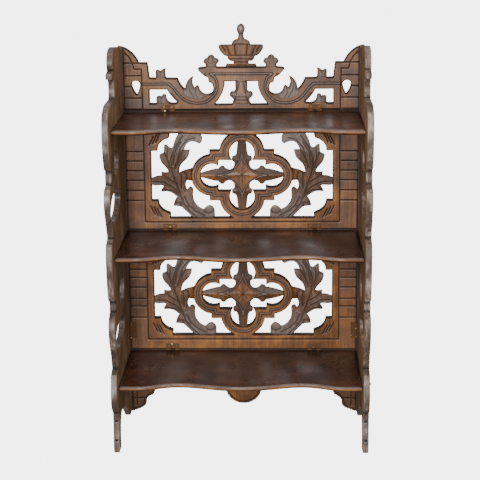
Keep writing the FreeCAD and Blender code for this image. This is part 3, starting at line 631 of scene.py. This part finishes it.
def leaf_scroll(face, local, here):
    """Acanthus leaves about a volute: veined and fluted, with painted sheen and highlight at their tips.
    """
    aside, up = np.abs(local).T
    ground = here & ~face.high
    vein_gap = near_lines(local, veins)
    to_volute = np.hypot(local[:, 0] - volute[0], local[:, 1] - volute[1])
    ball_margin, leaf_start, vein_curve, flute_reach, flute_half = 1.2, 60, 1.3, 14, 0.35
    ball = ground & (to_volute < volute_radius + ball_margin)
    leafage = ground & ~ball & (aside > leaf_start)
    vein = np.where(leafage, fade(vein_gap, 0, vein_width) ** vein_curve, 0)
    ripple = flute_half - flute_half * np.cos(2 * pi * vein_gap / flute_pitch)
    flute = np.where(leafage & (vein_gap < flute_reach), ripple, 0)
    face.depth += vein_depth * vein + flute
    face.cut = np.maximum(face.cut, 0.75 * vein + 0.7 * flute)
    ball_crown, ball_drop, ball_line = 1.5, 3.0, 0.6
    face.depth = np.where(ball, ball_crown + ball_drop * (to_volute / volute_radius) ** 2, face.depth)
    to_ball_line = np.abs(to_volute - volute_radius - ball_line)
    face.cut = lift(face.cut, ball, np.minimum(fade(to_ball_line, 0, 1), 0.7))
    # greyed with painted sheen towards their tips, browner along the stem and brown at the link; the tips
    # get a painted highlight, most on the flutes' crowns and little on the lower curl
    stem, stem_squash, link_end, link_half = (122, -8), 0.8, 101, 26
    from_stem = np.hypot(aside - stem[0], (local[:, 1] - stem[1]) * stem_squash)
    tone = np.minimum(0.3 + from_stem / 90, 0.9)
    tone = np.where((aside < link_end) & (up < link_half), 0.05, tone)
    face.leaf = np.where(ground, tone, face.leaf)
    crown_share = 0.4 + 0.6 * (1 - flute / (2 * flute_half))
    tips = np.minimum(fade(from_stem, 74, 36), 0.85) * crown_share
    low_curl_top, low_curl_end = -35, 120
    tips = np.where((local[:, 1] < low_curl_top) & (aside < low_curl_end), 0.1, tips)
    face.glint = lift(face.glint, ground, tips)


def cartouche(face, local, here):
    """The lobed strap about a star, with a flat channel along its middle."""
    aside, up = np.abs(local).T
    to_middle = np.minimum.reduce((
        np.hypot(aside - side_lobe, up) - side_lobe_radius,
        np.hypot(aside, up - tall_lobe) - tall_lobe_radius,
        np.maximum(aside - strap_step[0], up - strap_step[1])))
    strap_half, wall_line, floor_reach, star_inset = 9.5, 1.8, 1.6, 6
    strap = here & face.high & (np.abs(to_middle) < strap_half)
    gap = near_lines(np.stack((aside, up), 1), [cartouche_line])
    face.depth += np.where(strap, strap_channel(gap), 0)
    # the channel's walls are painted dark with shade, and its floor is greyed with painted sheen
    face.cut = lift(face.cut, strap, fade(np.abs(gap - wall_line), 0.21, 0.91))
    face.leaf = lift(face.leaf, strap & (gap < floor_reach), 0.7)
    return here & (to_middle < -star_inset) & ~strap


def four_pointed_star(face, local, star):
    """A star with a beaded edge, laid on four leaves with sharp spines."""
    aside, up = np.abs(local).T
    point = 1 - (aside / star_reach[0]) ** star_bend - (up / star_reach[1]) ** star_bend
    inner = star & (point > 0)
    to_edge = near_lines(np.stack((aside, up), 1), [star_line])
    axis, diagonal = np.minimum(aside, up), np.abs(aside - up) / 1.414
    spine = 1.6 + 2.6 * fade(face.to_sawn, 0, 9)
    depth = np.where(inner, 0.8 + 0.6 * fade(axis, 5, 0), spine)
    depth = np.where(to_edge < star_bead, 0.5 * depth, depth)
    face.depth = np.where(star, depth, face.depth)
    # eight short rays are cut at its middle, and its arms are parted by long ones
    short_ray, edge_line = 13, star_bead + 0.9
    cut = np.minimum(fade(np.abs(to_edge - edge_line), 0.45, 1.35), 0.9)
    rays = np.where(np.hypot(aside, up) < short_ray, np.minimum(diagonal, axis), diagonal)
    ray_dark = np.where(np.hypot(aside, up) < short_ray, 1.0, 0.45)
    cut = lift(cut, inner, ray_dark * np.minimum(fade(rays, 0.3, 1.3), 0.95))
    # the tall leaves are reeded across, and the wide ones are painted with shade, and greyed, above their
    # ridge
    reed_start, reed_half, arm_start = 26, 8, 7
    reeds = 0.5 + 0.5 * np.cos(2 * pi * up / reed_pitch)
    cut = lift(cut, ~inner & (up > reed_start) & (aside < reed_half), 0.6 * reeds)
    above_axis = fade(local[:, 1], 1, -1)
    ridge = fade(up, 0.48, 1.68) * (aside > arm_start)
    cut = np.maximum(cut, np.where(inner, 0.15, (0.34 + 0.22 * above_axis) * (1 - ridge)))
    face.cut = np.where(star, cut, face.cut)
    leaf = np.where(aside < arm_start, 0.3, 0.1 + 0.55 * above_axis) * (1 - ridge)
    face.leaf = np.where(star, np.where(inner, 0.0, leaf), face.leaf)
    # the bead along the star's edge gets a painted highlight
    bead = 0.32 * np.clip(1.6 - 1.3 * to_edge / star_bead, 0, 1)
    face.glint = np.where(star, bead, face.glint)


def board_depths(flat):
    """How deep the carving lies at each point of the board, and its looks."""
    face = SimpleNamespace(half=np.stack((np.abs(flat[:, 0]), flat[:, 1]), 1))
    aside, height = face.half.T
    face.to_raised, face.to_sawn = distances(flat, raised[0]), distances(flat, sawn[0])
    on_rim = 0.05
    face.high = within(flat, raised[0]) | (face.to_raised < on_rim)
    face.in_crest = in_boxes(face.half, [crest_box])
    # on the crest, what stands off the strap is leaf work cut lower
    face.to_strap = near_lines(face.half, [strap_line])
    face.crest_leaf = (face.to_strap > strap_reach) & in_boxes(face.half, leaves_off_strap)
    face.crest_leaf |= in_boxes(face.half, crest_leaves)
    face.high &= ~face.crest_leaf
    frame_of_board(face, np.clip(rim_facing(flat, *raised)[:, 1] * 1.6, 0, 1))
    crest_of_board(face)
    for middle in window_middles:
        local = face.half - (0, middle)
        here = (np.abs(local[:, 1]) < window_half[1]) & (local[:, 0] < window_half[0])
        leaf_scroll(face, local, here)
        four_pointed_star(face, local, cartouche(face, local, here))
    worn_line, worn_reach, ground_reach = 3.2, 2.0, 3
    worn = np.where(face.high, 0.5 * fade(np.abs(face.to_raised - worn_line), 0, worn_reach),
                    0.2 * fade(face.to_sawn, 0, ground_reach))
    # behind the sides the board is flat and square, and painted dark with shade
    butted = aside > butt_start
    depth, cut = np.where(butted, 0, face.depth), np.where(butted, 0.35, face.cut)
    return depth, board_thickness, {
        "cut": np.clip(cut, 0, 1), "leaf": face.leaf, "worn": worn, "glint": face.glint}


def beside(lines, offsets, step=1.2):
    """Points along the lines, and along them at each offset to either side."""
    found = []
    for line in lines:
        for start, end in zip(line[:-1], line[1:]):
            start, end = np.array(start, float), np.array(end, float)
            along = end - start
            length = np.linalg.norm(along)
            side = np.array((-along[1], along[0])) / length
            stops = start + along * np.linspace(0, 1, max(2, int(length / step) + 1))[:, None]
            for offset in offsets:
                found += [stops + side * offset, stops - side * offset]
    return np.concatenate(found)


# points wait where the carving turns, so that each cut stays sharp
channel_rows = (channel_width - channel_wall, channel_width)
crest_vein_row, ray_row, ray_end, bead_row, star_step = 1.6, 1.0, 11, star_bead + 0.7, 0.8
marks = [beside(carver_lines, (0, line_width)), beside([strap_line], channel_rows),
         beside(crest_veins, (0, crest_vein_row))]
for middle in window_middles:
    flute_rows = np.arange(0, 9) * flute_pitch / 2
    marks.append(beside(veins, flute_rows) + (0, middle))
    quarter = beside([cartouche_line], channel_rows)
    marks += [quarter + (0, middle), quarter * (1, -1) + (0, middle)]
    rays = beside([((0, 0), (ray_end, ray_end))], (0, ray_row))
    rays = np.concatenate((rays, beside([star_line], (0, star_bead, bead_row), star_step)))
    axes = beside([((0, 0), (80, 0)), ((0, -70), (0, 70))], (0,))
    marks += [rays + (0, middle), rays * (1, -1) + (0, middle), axes + (0, middle)]
marks = np.concatenate(marks)
marks = np.concatenate((marks, marks * (-1, 1)))

# the board is drawn in four strips, cut between its openings
board_cuts = {"crest_board": (573, board_top + 1), "upper_fret_board": (352, 573),
              "lower_fret_board": (118, 352), "foot_board": (board_bottom - 1, 118)}
outer_edge = board_high.x - 0.2 * MM
for name, span in board_cuts.items():
    strip = carved_slab(name, sawn, [raised], lambda a, b, d: (a * MM, (board_face + d) * MM, b * MM),
                        board_depths, spacing=1.2, rows=(1.0, 2.0), marks=marks, span=span)
    paint(strip, board_walnut, sawn_walnut, planed_walnut)
    # the board's outer edges are planed too
    for face in strip.data.polygons:
        if abs(face.center.x) > outer_edge:
            face.material_index = 2
    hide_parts("back_board")
    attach(strip, "carcass")


# Sides
# Two sawn walnut boards, lobed and stepped along their front edges and pierced by ovals.
# Their arrises are rounded by long handling.

# the faces are dull and brown, the front edges grey and dark by turns where hands have been
side_walnut = walnut("black_walnut_sides", "#513F30", "#705744", "#8C6E54",
                     grain_axis=2, roughness=0.6, rubbed_to="#846A55", gleam=0.0)
edge_walnut = walnut("black_walnut_handled_edges", "#1A120D", "#4C3E35", "#968880",
                     grain_axis=2, roughness=0.44, rubbed_to="#5A4638", gleam=0.36)


def notches(rims, inward):
    """The corners of an outline where it turns into the board."""
    least_turn_share = 0.35
    ends = {}
    for (start, end), normal in zip(rims.tolist(), inward.tolist()):
        for here, other in ((start, end), (end, start)):
            ends.setdefault((round(here[0], 2), round(here[1], 2)), []).append((other, normal))
    found = []
    for here, pair in ends.items():
        if len(pair) == 2:
            away = np.array(pair[0][0]) - here
            if away @ np.array(pair[1][1]) < -least_turn_share * np.linalg.norm(away):
                found.append(here)
    return np.array(found)


def side_depths(flat):
    """Both faces of a side: eased along the edge, with painted shade where two lobes meet."""
    ease_width, ease_depth, worn_line = 2.4, 1.2, 1.5
    to_edge = distances(flat, side_outline[0])
    ease = ease_depth * fade(to_edge, 0, ease_width) ** 2
    worn = 0.4 * fade(np.abs(to_edge - worn_line), 0, worn_line)
    notch_shade = 0.9 * fade(nearest(flat, notches(*side_outline))[1], 1.82, 4.42)
    return ease, side_thickness - ease, {"cut": notch_shade, "leaf": np.zeros(len(flat)), "worn": worn}


for name, sign in (("side_left", -1), ("side_right", 1)):
    low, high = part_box(name)
    inner_face = (high.x if sign < 0 else low.x) / MM
    side_thickness = (high.x - low.x) / MM
    side_outline = face_edges(name, 0, inner_face + sign * side_thickness)
    side = carved_slab(name + "_board", side_outline, [],
                       lambda a, b, d: ((inner_face + sign * d) * MM, a * MM, b * MM),
                       side_depths, spacing=3.5, rows=(0.5, 1.2, 2.4))
    paint(side, side_walnut, edge_walnut)
    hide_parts(name)
    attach(side, "carcass")


# Leg nicks
# On the front edge of each leg the carver struck two thumbnail cuts with a gouge. Each is
# drawn as an almost black half ellipse of painted shade, with a pale half ellipse of painted
# highlight for its lip.

nick_heights = (60, 25)


def start_tree(name, sizes):
    """A Geometry Nodes tree with sockets for its sizes, and what those sockets give."""
    tree = bpy.data.node_groups.new(name, "GeometryNodeTree")
    tree.interface.new_socket("Geometry", in_out="INPUT", socket_type="NodeSocketGeometry")
    tree.interface.new_socket("Material", in_out="INPUT", socket_type="NodeSocketMaterial")
    for label, value in sizes.items():
        kind = "NodeSocketInt" if isinstance(value, int) else "NodeSocketFloat"
        tree.interface.new_socket(label, in_out="INPUT", socket_type=kind).default_value = value
    tree.interface.new_socket("Geometry", in_out="OUTPUT", socket_type="NodeSocketGeometry")
    return tree, add_node(tree, "NodeGroupInput").outputs


def end_tree(tree, made, material):
    """Close a tree with real geometry in its material."""
    real = add_node(tree, "GeometryNodeRealizeInstances", inputs={"Geometry": made})
    painted = add_node(tree, "GeometryNodeSetMaterial", inputs={
        "Geometry": real.outputs[0], "Material": material})
    add_node(tree, "NodeGroupOutput", inputs={"Geometry": painted.outputs[0]})
    return tree


def grown(cloud, tree, values):
    """An object with the mesh that a tree makes of the given one, with its inputs set."""
    piece = bpy.data.objects.new(cloud.name, cloud)
    bpy.context.scene.collection.objects.link(piece)
    modifier = piece.modifiers.new("made", "NODES")
    modifier.node_group = tree
    for socket in tree.interface.items_tree:
        if socket.in_out == "INPUT" and socket.name in values:
            modifier[socket.identifier] = values[socket.name]
    made = bpy.data.meshes.new_from_object(piece.evaluated_get(bpy.context.evaluated_depsgraph_get()))
    piece.modifiers.clear()
    piece.data = made
    return piece


def nick_tree():
    """A tree that sets a half ellipse on each point, facing forwards."""
    tree, given = start_tree("gouged_nicks", {"Width": 7.0 * MM, "Height": 13.0 * MM})
    half_ring = add_node(tree, "GeometryNodeCurveArc", inputs={
        "Resolution": 16, "Radius": 0.5, "Start Angle": pi, "Sweep Angle": pi})
    filled = add_node(tree, "GeometryNodeFillCurve", inputs={"Curve": half_ring.outputs[0]})
    size = add_node(tree, "ShaderNodeCombineXYZ", inputs={
        "X": given["Width"], "Y": given["Height"], "Z": 1.0})
    nicks = add_node(tree, "GeometryNodeInstanceOnPoints", inputs={
        "Points": given["Geometry"], "Instance": filled.outputs[0], "Scale": size.outputs[0]})
    nicks.inputs["Rotation"].default_value = (pi / 2, 0, 0)
    return end_tree(tree, nicks.outputs[0], given["Material"])


def nicks(name, width, height, lift_off, material):
    """One mesh of nicks, on both legs, lifted off the edge by so much."""
    places = []
    for side_name in ("side_left", "side_right"):
        low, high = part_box(side_name)
        rims, _ = face_edges(side_name, 0, (low.x if side_name.endswith("left") else high.x) / MM)
        for level in nick_heights:
            crossing = (rims[:, :, 1].min(1) <= level) & (rims[:, :, 1].max(1) >= level)
            front = rims[crossing][:, :, 0].min()
            places.append(((low.x + high.x) / 2, (front - lift_off) * MM, level * MM))
    cloud = bpy.data.meshes.new(name)
    cloud.from_pydata(places, [], [])
    piece = grown(cloud, nick_tree(), {
        "Width": width * MM, "Height": height * MM, "Material": material})
    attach(piece, "carcass")


# a matt, almost black painted shade for each cut, and a pale painted highlight for its lip
nick_shade = walnut("painted_shade_in_gouge_cuts", "#0C0705", "#140C08", "#1C120C",
                 grain_axis=2, roughness=0.5)
nick_highlight = walnut("painted_highlight_at_gouge_cuts", "#64564C", "#80726A", "#9C9088",
                    grain_axis=2, roughness=0.3)
nicks("leg_gouge_lips", width=7.0, height=13.0, lift_off=0.12, material=nick_highlight)
nicks("leg_gouge_cuts", width=6.6, height=9.6, lift_off=0.24, material=nick_shade)


# Shelves
# Three thin walnut boards, stained a dark red brown and French polished. Each has a doubly
# scooped front whose upper arris is rounded and whose lower one is planed away.

# a smooth film that mirrors a little, rubbed to orange brown along the front
shelf_walnut = walnut("black_walnut_french_polished", "#26140D", "#3C2218", "#5C3826",
                      grain_axis=0, roughness=0.3, gleam=0.27, tooth=0.0)
shelf_edge = walnut("black_walnut_shelf_edges", "#3A200C", "#7C4A1C", "#AE7634",
                    grain_axis=0, roughness=0.34)


def shelf_depths(flat):
    """Both faces of a shelf: rounded along its edge, but for the rear, at the hinges."""
    round_width, round_depth, underside_share = 3.6, 2.6, 1.2
    rounded_reach, grey_reach = 200, 60
    from_front = flat[:, 1] - shelf_front
    to_edge = distances(flat, shelf_outline[0])
    round_over = round_depth * fade(to_edge, 0, round_width) ** 2
    round_over *= fade(from_front, rounded_reach - 1, rounded_reach)
    # the front edge is greyed, with dust and painted sheen
    front_grey = fade(to_edge, 1.44, 3.84) * fade(from_front, grey_reach - 1, grey_reach)
    plain = np.zeros(len(flat))
    return round_over, shelf_thickness - round_over * underside_share, {
        "cut": plain, "leaf": front_grey, "worn": plain}


grey_full_depth, grey_end_depth = 2.5, 5.5
for level in ("bottom", "middle", "top"):
    name = "shelf_" + level
    low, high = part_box(name)
    shelf_top, shelf_thickness, shelf_front = high.z / MM, (high.z - low.z) / MM, low.y / MM
    shelf_outline = face_edges(name, 2, shelf_top - shelf_thickness)
    shelf = carved_slab(name + "_polished", shelf_outline, [],
                        lambda a, b, d: (a * MM, b * MM, (shelf_top - d) * MM),
                        shelf_depths, spacing=4.0, rows=(0.5, 1.2, 2.0, 3.0))
    # the upper arris is greyed, with dust and painted sheen, and the lower one stays orange brown
    down = shelf_top - np.array([vertex.co.z for vertex in shelf.data.vertices]) / MM
    edge_grey = np.empty(len(down), np.float32)
    values = shelf.data.attributes["leaf"].data
    values.foreach_get("value", edge_grey)
    values.foreach_set("value", (edge_grey * fade(down, grey_full_depth, grey_end_depth)).astype(np.float32))
    paint(shelf, shelf_walnut, shelf_edge)
    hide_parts(name)
    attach(shelf, name + "_board")


# Urn finial
# A flat urn sawn from the same walnut, gadrooned with a gouge, and dowelled to the crest.

low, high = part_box("urn_finial")
urn_face, urn_thickness, urn_seat = low.y / MM, (high.y - low.y) / MM, low.z / MM
urn_outline = face_edges("urn_finial", 1, urn_face)
bowl_foot, bowl_top, urn_shoulder, knob_height = 20.5, 40.5, 40, 69


def above_seat(lines):
    """Lines given from the urn's seat on the crest, as places on the whole board."""
    return [[(aside, urn_seat + up) for aside, up in line] for line in lines]


gadroons = above_seat([((9.5, 21), (11.8, 39)), ((20, 22), (26.5, 39)), ((28, 27), (34, 39))])
mouldings = above_seat([((0, 8.5), (24, 8.5)), ((0, 14), (20, 14)), ((0, bowl_foot), (22, bowl_foot)),
                        ((0, bowl_top), (38, bowl_top)), ((0, 59.5), (8, 59.5))])


def urn_depths(flat):
    """The urn: a rolled edge, swollen gadroons between gouged lines, and a plain back."""
    roll_width, roll_depth, roll_curve = 7, 2.6, 1.8
    bulge_width, bulge_depth, bulge_curve = 6, 1.6, 1.5
    line_cut_depth, ease_width, knob_reach, far = 0.8, 2.4, 4, 99
    half = np.stack((np.abs(flat[:, 0]), flat[:, 1]), 1)
    aside, up = half[:, 0], half[:, 1] - urn_seat
    to_edge = distances(flat, urn_outline[0])
    to_gadroon, to_moulding = near_lines(half, gadroons), near_lines(half, mouldings)
    in_bowl = (up > bowl_foot) & (up < bowl_top)
    roll = roll_depth * fade(to_edge, 0, roll_width) ** roll_curve
    bulge = np.where(in_bowl, bulge_depth * fade(to_gadroon, 0, bulge_width) ** bulge_curve, 0)
    line = fade(np.minimum(np.where(in_bowl, to_gadroon, far), to_moulding), 0.28, 1.68)
    ease = fade(to_edge, 0, ease_width) ** 2
    knob = fade(np.hypot(aside, up - knob_height), 0, knob_reach)
    # the gouged lines are dark with wax and painted shade, the outline is painted dark with shade, the urn
    # greys above its shoulder with dust and painted sheen, and its knob gets a painted highlight
    return roll + bulge + line_cut_depth * line, urn_thickness - ease, {
        "cut": np.maximum(np.maximum(0.95 * line, 0.32), 0.85 * fade(to_edge, 0.51, 2.21)),
        "leaf": np.clip(0.3 + 0.8 * (up / urn_shoulder - 1), 0.3, 0.9), "glint": 0.8 * knob,
        "worn": np.zeros(len(flat))}


urn_marks = beside(gadroons + mouldings, (0, 1.1), 1.0)
urn_marks = np.concatenate((urn_marks, urn_marks * (-1, 1)))
urn = carved_slab("urn_carving", urn_outline, [], lambda a, b, d: (a * MM, (urn_face + d) * MM, b * MM),
                  urn_depths, spacing=1.0, rows=(0.8, 1.8), marks=urn_marks)
paint(urn, board_walnut, sawn_walnut)
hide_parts("urn_finial")
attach(urn, "carcass")


# Hinges, screws and pegs
# Small butt hinges stamped from yellow brass and let into the wood, slotted steel screws, and
# turned walnut pegs driven in from outside.


def tarnished_brass(name, film):
    """Yellow brass under a brown film of old finish that is rubbed off in specks."""
    material, tree, place = new_material(name)
    blotch_size = 6.25
    tarnish = add_node(tree, "ShaderNodeTexNoise", inputs={
        "Vector": place, "Scale": repeats(blotch_size), "Detail": 4.0})
    speck = add_node(tree, "ShaderNodeMapRange", inputs={
        "Value": tarnish.outputs["Fac"], "From Min": 0.66, "From Max": 0.7})
    tone = add_node(tree, "ShaderNodeMix", {"data_type": "RGBA"}, {
        0: speck.outputs[0], 6: linear(film), 7: linear("#E6CC82")})
    dull = add_node(tree, "ShaderNodeMapRange", inputs={
        "Value": speck.outputs[0], "To Min": 0.75, "To Max": 0.3})
    shader = add_node(tree, "ShaderNodeBsdfPrincipled", inputs={
        "Base Color": tone.outputs[2], "Metallic": speck.outputs[0], "Roughness": dull.outputs[0],
        "Specular IOR Level": 0.2})
    add_node(tree, "ShaderNodeOutputMaterial", inputs={"Surface": shader.outputs[0]})
    return material


def rusted_steel(name):
    """Mild steel, filed and slotted, brown with thin rust."""
    material, tree, place = new_material(name)
    blotch_size = 2.5
    rust = add_node(tree, "ShaderNodeTexNoise", inputs={
        "Vector": place, "Scale": repeats(blotch_size), "Detail": 3.0})
    tone = add_node(tree, "ShaderNodeMix", {"data_type": "RGBA"}, {
        0: rust.outputs["Fac"], 6: linear("#3A2A20"), 7: linear("#6E5C4C")})
    shader = add_node(tree, "ShaderNodeBsdfPrincipled", inputs={
        "Base Color": tone.outputs[2], "Metallic": 1.0, "Roughness": 0.45})
    add_node(tree, "ShaderNodeOutputMaterial", inputs={"Surface": shader.outputs[0]})
    return material


# the leaves on the shelves lie under the polish, and look darker
brass = tarnished_brass("yellow_brass_stamped", "#54371F")
shelf_brass = tarnished_brass("yellow_brass_under_polish", "#2E1E16")
steel = rusted_steel("mild_steel_slotted_screws")


def solid_boxes(node):
    """The boxes of a CAD node's solids, in mm, always in the order of its vertices."""
    shape = bmesh.new()
    shape.from_mesh(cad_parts[node].data)
    bmesh.ops.remove_doubles(shape, verts=shape.verts, dist=1e-6)
    waiting, boxes = set(shape.verts), []
    for first in shape.verts:
        if first not in waiting:
            continue
        waiting.remove(first)
        edge_of_search, solid = [first], []
        while edge_of_search:
            vertex = edge_of_search.pop()
            solid.append(vertex.co / MM)
            for edge in vertex.link_edges:
                other = edge.other_vert(vertex)
                if other in waiting:
                    waiting.remove(other)
                    edge_of_search.append(other)
        corners = np.array([tuple(corner) for corner in solid])
        boxes.append((corners.min(0), corners.max(0)))
    shape.free()
    return boxes


def turned_pieces_tree(name, slotted):
    """A tree that sweeps a circle along each wire, as thick as the wire's own radius says,
    and for screws cuts a slot across each head at a seeded angle."""
    sizes = {"Facets": 24}
    if slotted:
        sizes.update({"Slot Width": 0.7 * MM, "Slot Length": 5.0 * MM, "Slot Depth": 0.6 * MM, "Seed": 0})
    tree, given = start_tree(name, sizes)
    radius = add_node(tree, "GeometryNodeInputNamedAttribute", {"data_type": "FLOAT"}, {"Name": "radius"})
    wires = add_node(tree, "GeometryNodeMeshToCurve", inputs={"Mesh": given["Geometry"]})
    wires = add_node(tree, "GeometryNodeSetCurveRadius", inputs={
        "Curve": wires.outputs[0], "Radius": radius.outputs["Attribute"]})
    ring = add_node(tree, "GeometryNodeCurvePrimitiveCircle", inputs={
        "Resolution": given["Facets"], "Radius": 1.0})
    turned = add_node(tree, "GeometryNodeCurveToMesh", inputs={
        "Curve": wires.outputs[0], "Profile Curve": ring.outputs["Curve"], "Fill Caps": True})
    if "Scale" in turned.inputs:
        tree.links.new(radius.outputs["Attribute"], turned.inputs["Scale"])
    made = turned.outputs[0]
    if slotted:
        size = add_node(tree, "ShaderNodeCombineXYZ", inputs={
            "X": given["Slot Length"], "Y": given["Slot Width"], "Z": given["Slot Depth"]})
        blade = add_node(tree, "GeometryNodeMeshCube", inputs={"Size": size.outputs[0]})
        head = add_node(tree, "GeometryNodeInputNamedAttribute", {"data_type": "BOOLEAN"}, {
            "Name": "head"})
        aim = add_node(tree, "GeometryNodeInputNamedAttribute", {"data_type": "FLOAT_VECTOR"}, {
            "Name": "aim"})
        along = add_node(tree, "FunctionNodeAlignRotationToVector", inputs={
            "Vector": aim.outputs["Attribute"]})
        angle = add_node(tree, "FunctionNodeRandomValue", {"data_type": "FLOAT"}, {"Seed": given["Seed"]})
        angle.inputs[3].default_value = 2 * pi
        roll = add_node(tree, "FunctionNodeAxisAngleToRotation", inputs={"Angle": angle.outputs[1]})
        rolled = add_node(tree, "FunctionNodeRotateRotation", {"rotation_space": "LOCAL"}, {
            "Rotation": along.outputs[0], "Rotate By": roll.outputs[0]})
        blades = add_node(tree, "GeometryNodeInstanceOnPoints", inputs={
            "Points": given["Geometry"], "Selection": head.outputs["Attribute"],
            "Instance": blade.outputs[0], "Rotation": rolled.outputs[0]})
        real_blades = add_node(tree, "GeometryNodeRealizeInstances", inputs={
            "Geometry": blades.outputs[0]})
        made = add_node(tree, "GeometryNodeMeshBoolean", {"operation": "DIFFERENCE"}, {
            "Mesh 1": made, "Mesh 2": real_blades.outputs[0]}).outputs["Mesh"]
    return end_tree(tree, made, given["Material"])


def turned_pieces(name, tree, nodes, profile, material, seed=0):
    """Pieces turned to a profile, one for each solid of the CAD nodes, as one mesh.

    nodes gives each node's way from the head to the tip: an axis and a sign. The profile
    lists how far along and how thick; a station below zero counts back from the tip.
    """
    places, edges, radii, heads, aims = [], [], [], [], []
    for node, (axis, sign) in nodes.items():
        way = np.zeros(3)
        way[axis] = sign
        for low, high in solid_boxes(node):
            start = (low + high) / 2
            start[axis] = low[axis] if sign > 0 else high[axis]
            length = high[axis] - low[axis]
            for number, (station, radius) in enumerate(profile):
                station = station if station >= 0 else length + station
                if number:
                    edges.append((len(places) - 1, len(places)))
                places.append(tuple((start + way * min(station, length)) * MM))
                radii.append(radius * MM)
                heads.append(number == 0)
                aims.extend(way)
    wire = bpy.data.meshes.new(name)
    wire.from_pydata(places, edges, [])
    wire.attributes.new("radius", "FLOAT", "POINT").data.foreach_set("value", radii)
    wire.attributes.new("head", "BOOLEAN", "POINT").data.foreach_set("value", heads)
    wire.attributes.new("aim", "FLOAT_VECTOR", "POINT").data.foreach_set("vector", aims)
    piece = grown(wire, tree, {"Material": material, "Seed": seed})
    piece.data.shade_smooth()
    piece.data.set_sharp_from_angle(angle=sharp_angle)
    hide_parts(*nodes)
    return piece


# a countersunk head 4 mm across, a 2 mm shank and a point
screw_profile = [(0, 2.0), (1.1, 1.0), (-2.0, 1.0), (-0.01, 0.05)]
screw_tree = turned_pieces_tree("slotted_screws", True)
carcass_screws = turned_pieces("carcass_slotted_screws", screw_tree, {
    "shelf_hinge_board_screws": (1, 1), "side_hinge_board_screws": (1, 1),
    "side_left_screws": (0, -1), "side_right_screws": (0, 1)}, screw_profile, steel, 3)
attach(carcass_screws, "carcass")
for seed, level in enumerate(("bottom", "middle", "top"), 4):
    name = "shelf_" + level
    screws = turned_pieces(name + "_slotted_screws", screw_tree, {name + "_screws": (2, -1)},
                           screw_profile, steel, seed)
    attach(screws, name + "_board")

# a peg with an acorn head and a small collar, dark from its end grain
peg_walnut = walnut("black_walnut_turned_pegs", "#33211A", "#4A3226", "#5E4434",
                    grain_axis=0, roughness=0.35)
peg_profile = [(0, 0.2), (0.3, 1.2), (1.0, 2.4), (2.2, 3.3), (3.4, 3.58), (4.4, 3.3), (5.0, 2.6),
               (5.3, 2.9), (5.9, 2.9), (6.0, 2.5), (-0.8, 2.5), (-0.01, 1.9)]
pegs = turned_pieces("shelf_turned_pegs", turned_pieces_tree("turned_pegs", False),
                     {"shelf_pegs_left": (0, 1), "shelf_pegs_right": (0, -1)}, peg_profile, peg_walnut)
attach(pegs, "carcass")

# what the frame's own nodes still show: the hinges, the urn's dowel and the like
for node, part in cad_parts.items():
    if part.hide_render:
        continue
    finish = peg_walnut
    if "screws" in node:
        finish = steel
    elif node.endswith("shelf_leaf"):
        finish = shelf_brass
    elif "leaf" in node or node.endswith("_pin"):
        finish = brass
    part.data.materials.clear()
    part.data.materials.append(finish)


# Floor and lights
# A seamless sheet of paper under soft studio light from the front, the left and above. It and
# the studio look white, and yet light the unit only faintly from below and behind.


def look_white(tree, strength, given_light):
    """Make a surface glow white where it is seen itself, and give less light to the rest."""
    seen_light = 4.8
    seen = add_node(tree, "ShaderNodeLightPath")
    brightness = add_node(tree, "ShaderNodeMapRange", inputs={
        "Value": seen.outputs["Is Camera Ray"], "To Min": given_light, "To Max": seen_light})
    tree.links.new(brightness.outputs[0], strength)


floor_reach = 6.0
floor_corners = [(x * floor_reach, y * floor_reach, 0) for x, y in ((-1, -1), (1, -1), (1, 1), (-1, 1))]
floor_mesh = bpy.data.meshes.new("floor")
floor_mesh.from_pydata(floor_corners, [], [(0, 1, 2, 3)])
floor = bpy.data.objects.new("floor", floor_mesh)
bpy.context.scene.collection.objects.link(floor)
paper = bpy.data.materials.new("white_paper_sweep")
paper.use_nodes = True
paper_shader = paper.node_tree.nodes["Principled BSDF"]
paper_shader.inputs["Base Color"].default_value = linear("#4A4A49")
paper_shader.inputs["Roughness"].default_value = 0.9
paper_shader.inputs["Emission Color"].default_value = (1, 1, 1, 1)
look_white(paper.node_tree, paper_shader.inputs["Emission Strength"], 0.25)
floor_mesh.materials.append(paper)

world = bpy.data.worlds.new("studio")
bpy.context.scene.world = world
world.use_nodes = True
sky = world.node_tree.nodes["Background"]
sky.inputs["Color"].default_value = (1, 1, 1, 1)
look_white(world.node_tree, sky.inputs["Strength"], 0.8)


def soft_light(name, place, aim, width, watts):
    lamp = bpy.data.lights.new(name, "AREA")
    lamp.shape = "SQUARE"
    lamp.size = width
    lamp.energy = watts
    light = bpy.data.objects.new(name, lamp)
    bpy.context.scene.collection.objects.link(light)
    light.location = place
    light.rotation_euler = (Vector(aim) - Vector(place)).to_track_quat("-Z", "Y").to_euler()


soft_light("key", (-0.5, -2.7, 0.9), (0, 0, 0.35), 1.1, 90)
soft_light("overhead", (0.1, -1.6, 2.2), (0, 0, 0.4), 0.9, 14)
soft_light("fill", (1.5, -2.2, 0.7), (0, 0, 0.3), 1.2, 22)
